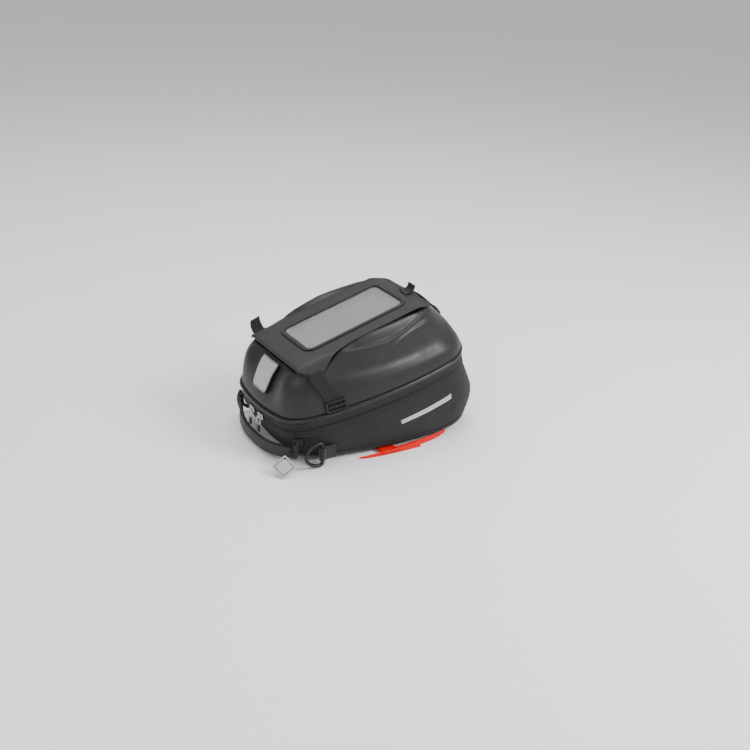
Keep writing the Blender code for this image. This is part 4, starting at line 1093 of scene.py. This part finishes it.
edge = rounded(rear + 2.6, front - 2.6, wide - 2.6, corner - 2.6, 10)
rows = []
for i in range(16):
    k = 1.0 - i / 16
    row = []
    for x, y in edge:
        px, py = WINDOW_MIDDLE + (x - WINDOW_MIDDLE) * k, y * k
        wave = noise.noise(Vector((px * 0.016, py * 0.016, 5.0))) * 0.25 * (1 - k * k)
        row.append(FILM @ Vector((px, py, -0.1 + wave)))
    rows.append(row)
film = surface("window_film_sheet", rows, FILM_LOOK, closed=True, cap=True, smooth=80.0)
thicken(facing(film, UPWARD), 0.4)
settle(film, "lid", "clear_film", "window_film")

rows = []
for i in range(12):
    k = 1.0 - i / 12
    rows.append([FILM @ Vector((WINDOW_MIDDLE + (x - WINDOW_MIDDLE) * k, y * k,
                                -8.6 + noise.noise(Vector((x * k * 0.04, y * k * 0.04, 9.0))) * 0.5)) for x, y in
                 rounded(rear - 4.0, front + 2.0, wide + 2.0, corner, 10)])
pocket = surface("pocket_back", rows, POCKET, closed=True, cap=True, smooth=80.0)
thicken(facing(pocket, UPWARD), 0.8)
settle(pocket, "lid", "eva_lid")


# ---------------------------------------------------------------- straps
def ribbon(name, edges, thickness, look, steps=5):
    """A flat tape between two edge lines, with selvages a little proud; also its rows and their normals."""
    columns = 8
    one, two = edges
    one, two = smooth_path(one, steps), smooth_path(two, steps)
    rows, ups = [], []
    for i, (a, b) in enumerate(zip(one, two)):
        j, k = min(i + 1, len(one) - 1), max(i - 1, 0)
        up = (b - a).cross((one[j] + two[j]) - (one[k] + two[k])).normalized()
        ups.append(up)
    centre = sum(((a + b) for a, b in zip(one, two)), Vector()) / len(one)
    away = Vector((centre.x, centre.y, 0.0)).normalized() + UPWARD
    if sum(up.dot(away) for up in ups) < 0:
        ups = [-up for up in ups]
    for a, b, up in zip(one, two, ups):
        row = []
        for c in range(columns + 1):
            share = c / columns
            proud = 0.22 if c in (0, columns) else (0.3 if c in (1, columns - 1) else 0.0)
            row.append(a.lerp(b, share) + up * proud)
        rows.append(row)
    obj = surface(name, rows, look, smooth=60.0)
    thicken(facing(obj, ups[len(ups) // 2], len(obj.data.polygons) // 2), thickness)
    return obj, rows, ups


def over_lid(place, middle, width, levels, lift):
    """The two edge lines of a tape that lies over the lid down through the levels."""
    edges = []
    for side in (-0.5, 0.5):
        row = []
        for i, n in enumerate(levels):
            t = i / max(1, len(levels) - 1)
            row.append(SEAM @ on_lid(place, middle(t) + side * width, n, lift)[0])
        edges.append(row)
    return edges


def rear_middle(t):
    return -88.0 + 11.5 * t


def still(value):
    return lambda t: value


def box_stitch(name, rows, ups, first, last, body):
    """A crossed box of stitches between two rows of a ribbon."""
    n = len(rows[0]) - 1
    up = [ups[first]] * 2
    a, b = [rows[first][k] + ups[first] * 0.25 for k in (1, n - 1)]
    c, d = [rows[last][k] + ups[last] * 0.25 for k in (n - 1, 1)]
    lines = [(pair, up, False) for pair in ([a, b], [b, c], [c, d], [d, a], [a, c], [b, d])]
    sewn(name, lines, body, 2.6, 1.8, 0.26)


def ladder_lock(name, place, middle, levels, node):
    """A moulded frame with two slots and a rolled middle bar, gripping a strap."""
    half = STRAP_WIDTH / 2
    corners = [SEAM @ on_lid(place, middle + side * half, n, 2.6)[0] for n in levels for side in (-1, 1)]
    centre = sum(corners, Vector()) / 4
    across = (corners[1] - corners[0] + corners[3] - corners[2]).normalized()
    up = (corners[0] - corners[2] + corners[1] - corners[3]).normalized()
    face = across.cross(up)
    if face.dot(Vector((centre.x, centre.y, 0.0))) < 0:
        across, face = -across, -face
    up = face.cross(across)
    at = frame_of(centre, across, up, face)
    outer = rounded(-half - 4.0, half + 4.0, 7.0, 2.5, 5)
    slots = [[(x, y + rise) for x, y in rounded(-half - 0.8, half + 0.8, 1.8, 0.8, 3)] for rise in (-3.2, 3.2)]
    pieces = [plate(name, [outer] + slots, 2.4, at, PLASTIC, 0.6, 3)]
    for rise, radius in ((0.0, 1.5), (5.9, 1.1)):
        path = [at @ Vector((-half - 1.5 + (STRAP_WIDTH + 3.0) * i / 10, rise, 0.75)) for i in range(11)]
        pieces.append(tube(f"{name}_bar", path, radius, PLASTIC))
    settle(joined(name, pieces), "lid", "black_plastic", node)


for place, sign in SIDES:
    start = on_film((-94.3, sign * 75.6, -droop(-93.0, 73.6) + 1.0),
                    (-75.0, sign * 77.6, -droop(-76.0, 75.6) + 1.0))
    tuck = on_film((-94.0, sign * 70.0, -droop(-93.0, 70.0) + 0.9),
                   (-76.0, sign * 71.5, -droop(-76.0, 71.5) + 0.9))
    edges = over_lid(place, rear_middle, STRAP_WIDTH, (3.8, 3.3, 2.8, 2.3, 1.85, 1.3), 2.2)
    edges = [[tuck[k], start[k]] + edges[k] for k in (0, 1)]
    strap = ribbon(f"strap_over_rear_{place}", edges, 1.5, WEBBING)[0]
    settle(strap, "lid", "webbing", f"strap_rear_{place}")
    ladder_lock(f"ladder_lock_rear_{place}", place, -76.0, (1.35, 0.75), f"loop_lock_rear_{place}")
    edges = over_lid(place, still(-76.0), STRAP_WIDTH - 1.0, (1.25, 0.9, 0.6, 0.3, 0.05), 1.6)
    tab, tab_rows, tab_ups = ribbon(f"strap_tab_rear_{place}", edges, 1.2, WEBBING)
    settle(tab, "lid", "webbing", f"lock_tab_rear_{place}")
    box_stitch(f"stitches_tab_rear_{place}", tab_rows, tab_ups, len(tab_rows) * 2 // 3, len(tab_rows) - 2, "lid")

# the left strap's free end, turned up past the holder's wing
tail = [on_film((-94.0, 73.0, -9.5), (-94.5, 76.5, -6.0), (-94.0, 80.0, 0.5), (-91.5, 82.5, 6.5)),
        on_film((-78.0, 74.5, -8.5), (-78.5, 78.0, -5.0), (-78.5, 81.5, 1.5), (-77.0, 84.0, 7.5))]
settle(ribbon("strap_tail_rear_left", tail, 1.4, WEBBING)[0], "lid", "webbing")

edges = over_lid("front", still(0.0), STRAP_WIDTH, (6.5, 6.0, 5.4, 4.6, 3.8, 3.2), 3.0)
edges = [on_film((96.0, y, -droop(96.0, 0) + 1.0), (107.0, y, -NOSE_DROOP + 0.6)) + edge
         for y, edge in zip((-10.0, 10.0), edges)]
settle(ribbon("strap_over_front", edges, 1.5, WEBBING)[0], "lid", "webbing", "strap_front")
ladder_lock("ladder_lock_front", "front", 0.0, (3.4, 2.7), "loop_lock_front")
edges = []
for y in (-13.0, 13.0):
    root = on_film(*[(x, y, -droop(x, 0) - 0.2) for x in (99.0, 103.0, 106.4)])
    edges.append(root + [SEAM @ on_lid("front", y, n, 0.9)[0] for n in (6.9, 6.5, 6.2)])
settle(ribbon("holder_tongue_front", edges, 1.2, SHEET)[0], "lid", "holder_sheet")
edges = over_lid("front", still(0.0), STRAP_WIDTH - 1.0, (2.9, 2.4, 1.8, 1.0, 0.3), 1.7)
tab, tab_rows, tab_ups = ribbon("strap_tab_front", edges, 1.2, WEBBING)
settle(tab, "lid", "webbing", "lock_tab_front")
box_stitch("stitches_tab_front", tab_rows, tab_ups, len(tab_rows) // 2, len(tab_rows) - 2, "lid")
tail = [on_film((91.0, -15.0, -2.4), (98.0, -15.5, -2.6), (103.5, -16.0, -0.5), (106.5, -16.0, 3.8)),
        on_film((91.0, -1.0, -2.2), (98.0, -1.0, -2.4), (103.5, -1.0, 0.0), (106.5, -1.0, 4.8))]
settle(ribbon("strap_tail_front", tail, 1.4, WEBBING)[0], "lid", "webbing")


# ---------------------------------------------------------------- badge and tag
def badge_point(u, v, lift):
    """A point over the badge: u from -1 to 1 across it, v from 0 to 1 down it."""
    w = 2.0 * v - 1.0
    u, w = u * (1.0 - 0.09 * w ** 8), w * (1.0 - 0.07 * u ** 8)
    v = (w + 1.0) / 2
    p, n = on_lid("rear", (21.5 - 2.5 * v) * u, 5.4 - 3.3 * v, lift)
    return SEAM @ p


rows = [[badge_point(1 - 2 * k / 22, i / 16, 3.2) for k in range(23)] for i in range(17)]
rows.reverse()
badge = surface("badge_plate", rows, SILVER, smooth=50.0)
thicken(facing(badge, (-1, 0, 0)), 1.0)
settle(badge, "lid", "reflective", "rear_badge")


def badge_loop(u, v, across, up, lift):
    """A closed line on the badge, u from its middle and from v to 1 - v, in so many steps across and up."""
    tall = 1.0 - 2.0 * v
    return ([badge_point(-u + 2 * u * k / across, v, lift) for k in range(across + 1)]
            + [badge_point(u, v + tall * i / up, lift) for i in range(1, up + 1)]
            + [badge_point(u - 2 * u * k / across, 1 - v, lift) for k in range(1, across + 1)]
            + [badge_point(-u, 1 - v - tall * i / up, lift) for i in range(1, up)])


for name, loop, radius, look, sides in (("badge_rim", badge_loop(1.0, 0.0, 14, 10, 3.1), 0.9, BEAD, 10),
                                        ("badge_line", badge_loop(0.9, 0.06, 12, 8, 3.25), 0.28, RUBBER, 8)):
    settle(tube(name, loop, radius, look, cyclic=True, sides=sides), "lid", "rubber_trim")

# the tag hangs by a corner: its eye is this far from its middle on both axes
TAG_EYE = 7.6
face = Vector((-0.35, -0.55, 0.75)).normalized()
slope = Vector((-face.x * face.z, -face.y * face.z, 1.0 - face.z * face.z)).normalized()
tag_at = frame_of((-146.5, -87.5, BASE_Z + 5.6), slope, face.cross(slope), face)
tag_at = tag_at @ Matrix.Rotation(math.radians(45.0), 4, "Z")
eye = arc(TAG_EYE, -TAG_EYE, 1.5, 0, 345, 15)
tag = plate("tag_plate", [rounded(-11.0, 11.0, 11.0, 1.8, 6), eye], 1.2, tag_at, SILVER, 0.4, 3)
settle(tag, "tag", "reflective", "hang_tag")
knot = Vector((-140.2, -77.6, 1.8))
eyelet = tag_at @ Vector((TAG_EYE, -TAG_EYE, 0.0))
drop = (eyelet - knot)
width = drop.cross(face).normalized()
loop = smooth_path([knot + Vector((0, 0, 0.8)), knot + drop * 0.3 + width * 1.5, knot + drop * 0.75 + width * 1.4,
                    eyelet + face * 0.4 + drop.normalized() * 1.2, knot + drop * 0.75 - width * 1.4,
                    knot + drop * 0.3 - width * 1.5], 8, True)
settle(tube("tag_loop", loop, 0.55, RUBBER, cyclic=True, sides=10), "tag", "rubber_trim")
tether = smooth_path([Vector((-127.0, -75.0, 2.5)), Vector((-131.0, -78.5, 3.4)), Vector((-136.0, -79.0, 3.2)),
                      knot + Vector((0, 0, 0.6)), Vector((-137.0, -76.0, 1.2)), Vector((-131.5, -73.5, 0.6)),
                      Vector((-126.5, -73.0, 0.8))], 8)
settle(tube("tag_tether", tether, 0.6, RUBBER, sides=10), "handle", "rubber_trim")
line = [tag_at @ Vector((x, y, 0.62)) for x, y in rounded(-8.6, 8.6, 8.6, 1.2, 5)]
settle(tube("tag_line", line, 0.42, RUBBER, cyclic=True, sides=8), "tag", "rubber_trim")


# ---------------------------------------------------------------- zip sliders and pulls
def slider_frame(turn, out, z):
    """A frame on the zip, turned so many degrees from the rear's middle; its X looks outwards."""
    a = 180.0 - turn
    x, y = plan(a, out)
    return SEAM @ Matrix.Translation((x, y, z)) @ Matrix.Rotation(math.radians(a), 4, "Z")


def hanging(at):
    """The same frame with its Z upright in the world."""
    y = (at.to_3x3() @ Vector((0, 1, 0))).normalized()
    z = (Vector((0, 0, 1)) - y * y.z).normalized()
    return frame_of(at.translation, y.cross(z), y, z)


SLIDER_LEVEL = -12.6
GRIP_LENGTH, GRIP_TOP = 10.3, -11.05
for side, turn in (("right", -2.4), ("left", 3.0)):
    at = slider_frame(turn, 0.7, SLIDER_LEVEL)
    shell_part = soft_box(f"slider_plate_{side}", (2.2, 12.0, 8.4), at, NICKEL, 1.0, 4)
    waist = soft_box("waist", (1.4, 5.0, 9.0), at @ Matrix.Translation((0.5, 0, 0)), NICKEL, 0.6, 3)
    lug = soft_box("lug", (5.2, 2.4, 4.6), slider_frame(turn, 2.2, SLIDER_LEVEL), NICKEL, 0.9, 4)
    cast = joined(f"slider_cast_{side}", [shell_part, waist, lug])
    settle(cast, f"slider_body_{side}", "nickel", f"slider_{side}")
    hung = hanging(slider_frame(turn, 3.5, SLIDER_LEVEL))
    loop = [hung @ Vector((0.0, y, x)) for x, y in rounded(-10.0, 0.0, 4.0, 2.2, 7)]
    bail = tube(f"bail_{side}", loop, 0.75, NICKEL, cyclic=True)
    settle(bail, f"pull_{side}", "nickel", f"pull_wire_{side}")
    at = hung @ Matrix.Translation((0, 0, GRIP_TOP - GRIP_LENGTH / 2))
    grip = [soft_box(f"pull_grip_{side}", (2.2, 5.0, GRIP_LENGTH), at, RUBBER, 0.9, 4)]
    for k in range(4):
        rib_at = at @ Matrix.Translation((0, 0, -3.3 + 1.9 * k))
        grip.append(soft_box("rib", (2.7, 4.4, 0.9), rib_at, RUBBER, 0.4, 3))
    settle(joined(f"pull_grip_{side}", grip), f"pull_{side}", "webbing", f"pull_tab_{side}")


# ---------------------------------------------------------------- handle and D-rings
hinge = Vector((-124.347, 77.98, 14.493))


def handle_middle(share):
    """The grip's middle line, from share -1 on the right to 1 on the left."""
    bow = 1.0 - abs(share) ** 2.5
    return Vector((hinge.x - 3.0 - 17.0 * bow, (hinge.y - 5.0) * share, hinge.z - 14.0 - 8.0 * bow))


path = [handle_middle(-1.0 + 2.0 * i / 60) for i in range(61)]
half, thin = 8.5, 2.5
# the grip's section is drawn in along its middle
dip = [(x * (1.0 - 0.32 * math.exp(-(z / 2.6) ** 2)), z) for z, x in rounded(-half, half, thin, 2.2, 6)]
taper = [1.0 - 0.16 * eased(0.78, 1.0, abs(-1.0 + 2.0 * i / 60)) for i in range(61)]
grip = sweep("grip_cover", path, dip, RUBBER, ups=[(0, 0, 1)] * 61, scale=taper, smooth=55.0)
settle(grip, "handle", "rubber_trim", "handle_grip")
lines = []
for rise in (-6.4, 6.4):
    points = []
    for i in range(3, 58):
        along = (path[min(i + 1, 60)] - path[i - 1]).normalized()
        up = (Vector((0, 0, 1)) - along * along.z).normalized()
        points.append((path[i] + up * rise * taper[i] - along.cross(up) * thin * taper[i], -along.cross(up)))
    lines.append(([p for p, _ in points], [n for _, n in points], False))
sewn("stitches_grip", lines, "handle", 3.2, 2.2, 0.3)
for side, sign in SIDES:
    top_end = Vector((hinge.x, sign * hinge.y, hinge.z))
    low_end = handle_middle(sign) + Vector((0, sign * 6.0, 0))
    inside = handle_middle(sign * 0.9)
    bow_out = Vector((-1.2, sign * 1.5, 0.0))
    path_end = smooth_path([top_end + Vector((1.0, 0, 0.6)), top_end.lerp(low_end, 0.12) + bow_out,
                            top_end.lerp(low_end, 0.6) + bow_out, low_end, low_end.lerp(inside, 0.7)], 7)
    end = sweep(f"handle_web_{side}", path_end, slab(13.0, 2.0), STRIPWEB, ups=[(-1, 0, 0.0)] * len(path_end))
    settle(end, "handle", "webbing", f"handle_end_{side}")
    at = Matrix.Translation(top_end) @ Matrix.Rotation(math.radians(sign * 136.0), 4, "Z")
    upper = [(-9.0, 2.4), (-6.5, 2.2), (-3.0, 2.0), (0.3, 1.6), (1.4, 0.0)]
    lower = [(x, -z) for x, z in upper[-2::-1]]
    path_loop = smooth_path([at @ Vector((x, 0, z)) for x, z in upper + lower], 4)
    anchor = sweep(f"handle_loop_{side}", path_loop, slab(13.0, 1.3), STRIPWEB, ups=[(0, 0, 1)] * len(path_loop))
    settle(anchor, "bag", "webbing", f"handle_anchor_{side}")

bar_x, bar_y, half, middle = -95.0, 91.5, 15.0, -1.0
for side, sign in SIDES:
    points = [(bar_x, half - 3.0), (bar_x - 1.0, half - 0.6)]
    points += [(bar_x - 4.0 - 19.0 * math.sin(math.radians(a)), half * math.cos(math.radians(a)) * 1.02)
               for a in range(0, 181, 15)]
    points += [(bar_x - 1.0, -half + 0.6), (bar_x, -half + 3.0)]
    loop = smooth_path([Vector((x, sign * bar_y, middle + z)) for x, z in points], 5, True)
    ring = tube(f"ring_loop_{side}", loop, 2.3, PLASTIC, cyclic=True, sides=18, ups=[(0, sign, 0)] * len(loop))
    settle(ring, f"ring_{side}", "black_plastic", f"d_ring_{side}")
    wrap = arc(0, 0, 4.3, 35.0, 325.0, 28) + [(9.0, -1.2), (19.0, -1.2), (19.0, 1.2), (9.0, 1.2)]
    tab_at = Matrix.Translation((bar_x, sign * bar_y, middle))
    tab = plate(f"ring_web_{side}", [wrap, arc(0, 0, 2.75, 0.0, 345.0, 23)], 17.0, tab_at, BASE, 0.4, 2)
    settle(tab, "bag", "webbing", f"d_ring_tab_{side}")
    out = sign * (bar_y + 1.25)
    a, b, c, d = [Vector((bar_x + x, out, middle + z)) for x, z in ((8, -6), (8, 6), (17, 6), (17, -6))]
    lines = [(pair, [Vector((0, sign, 0))] * 2, False) for pair in ([a, b], [b, c], [c, d], [d, a], [a, c], [b, d])]
    sewn(f"stitches_ring_{side}", lines, "bag", 2.4, 1.7, 0.28)


# ---------------------------------------------------------------- release tape
tape_level = BASE_Z - 5.4
root = [[Vector((x, y, BASE_Z + z)) for x, y, z in edge] for edge in (
    ((-8.0, -66.8, -1.8), (-11.0, -84.0, -1.9), (-14.0, -102.0, -2.2)),
    ((8.0, -66.8, -1.8), (11.0, -84.0, -1.9), (14.0, -103.0, -2.2)))]
parts = [ribbon("release_root", root, 1.1, RED, 8)[0]]
# each leg of the tape: x, y, rise and width at its points
LEGS = {
    "rear": ((-42.0, -95.5, 0.0, 2.0), (-30.0, -99.0, 0.0, 3.6), (-12.0, -101.5, 0.0, 5.0),
             (14.0, -103.0, 0.0, 6.4), (46.0, -103.5, 0.0, 7.6)),
    "front": ((8.0, -101.0, 0.0, 7.6), (30.0, -100.0, 0.0, 7.6), (54.0, -97.5, 0.0, 7.2),
              (74.0, -95.5, 1.5, 6.4), (92.0, -92.5, 5.0, 4.4)),
}
for name, leg in LEGS.items():
    edges = [[Vector((x, y, tape_level + z)) for x, y, z, _ in leg],
             [Vector((x, y + 0.4, tape_level + z + tall)) for x, y, z, tall in leg]]
    parts.append(ribbon(f"release_{name}", edges, 1.1, RED, 8)[0])
release = joined("release_strap", [baked(part) for part in parts])
settle(release, "release", "red_tape", "release_tape")

# the latch's return spring, made as one fixed coil; the real one shortens as the latch slides out
spring_near, spring_far, spring_turns = -67.15, -80.35, 6
spring_r, spring_z, spring_wire = 1.6, -3.2, 0.33
coil = []
for i in range(145):
    t = spring_turns * i / 144
    y = spring_near + (spring_far - spring_near) * t / spring_turns
    turn = 2 * math.pi * t
    coil.append(Vector((spring_r * math.cos(turn), y, spring_z + spring_r * math.sin(turn))))
spring = tube("return_spring", coil, spring_wire, STEEL, sides=8)
settle(spring, "bag", "steel", "latch_spring")
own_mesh(spring)
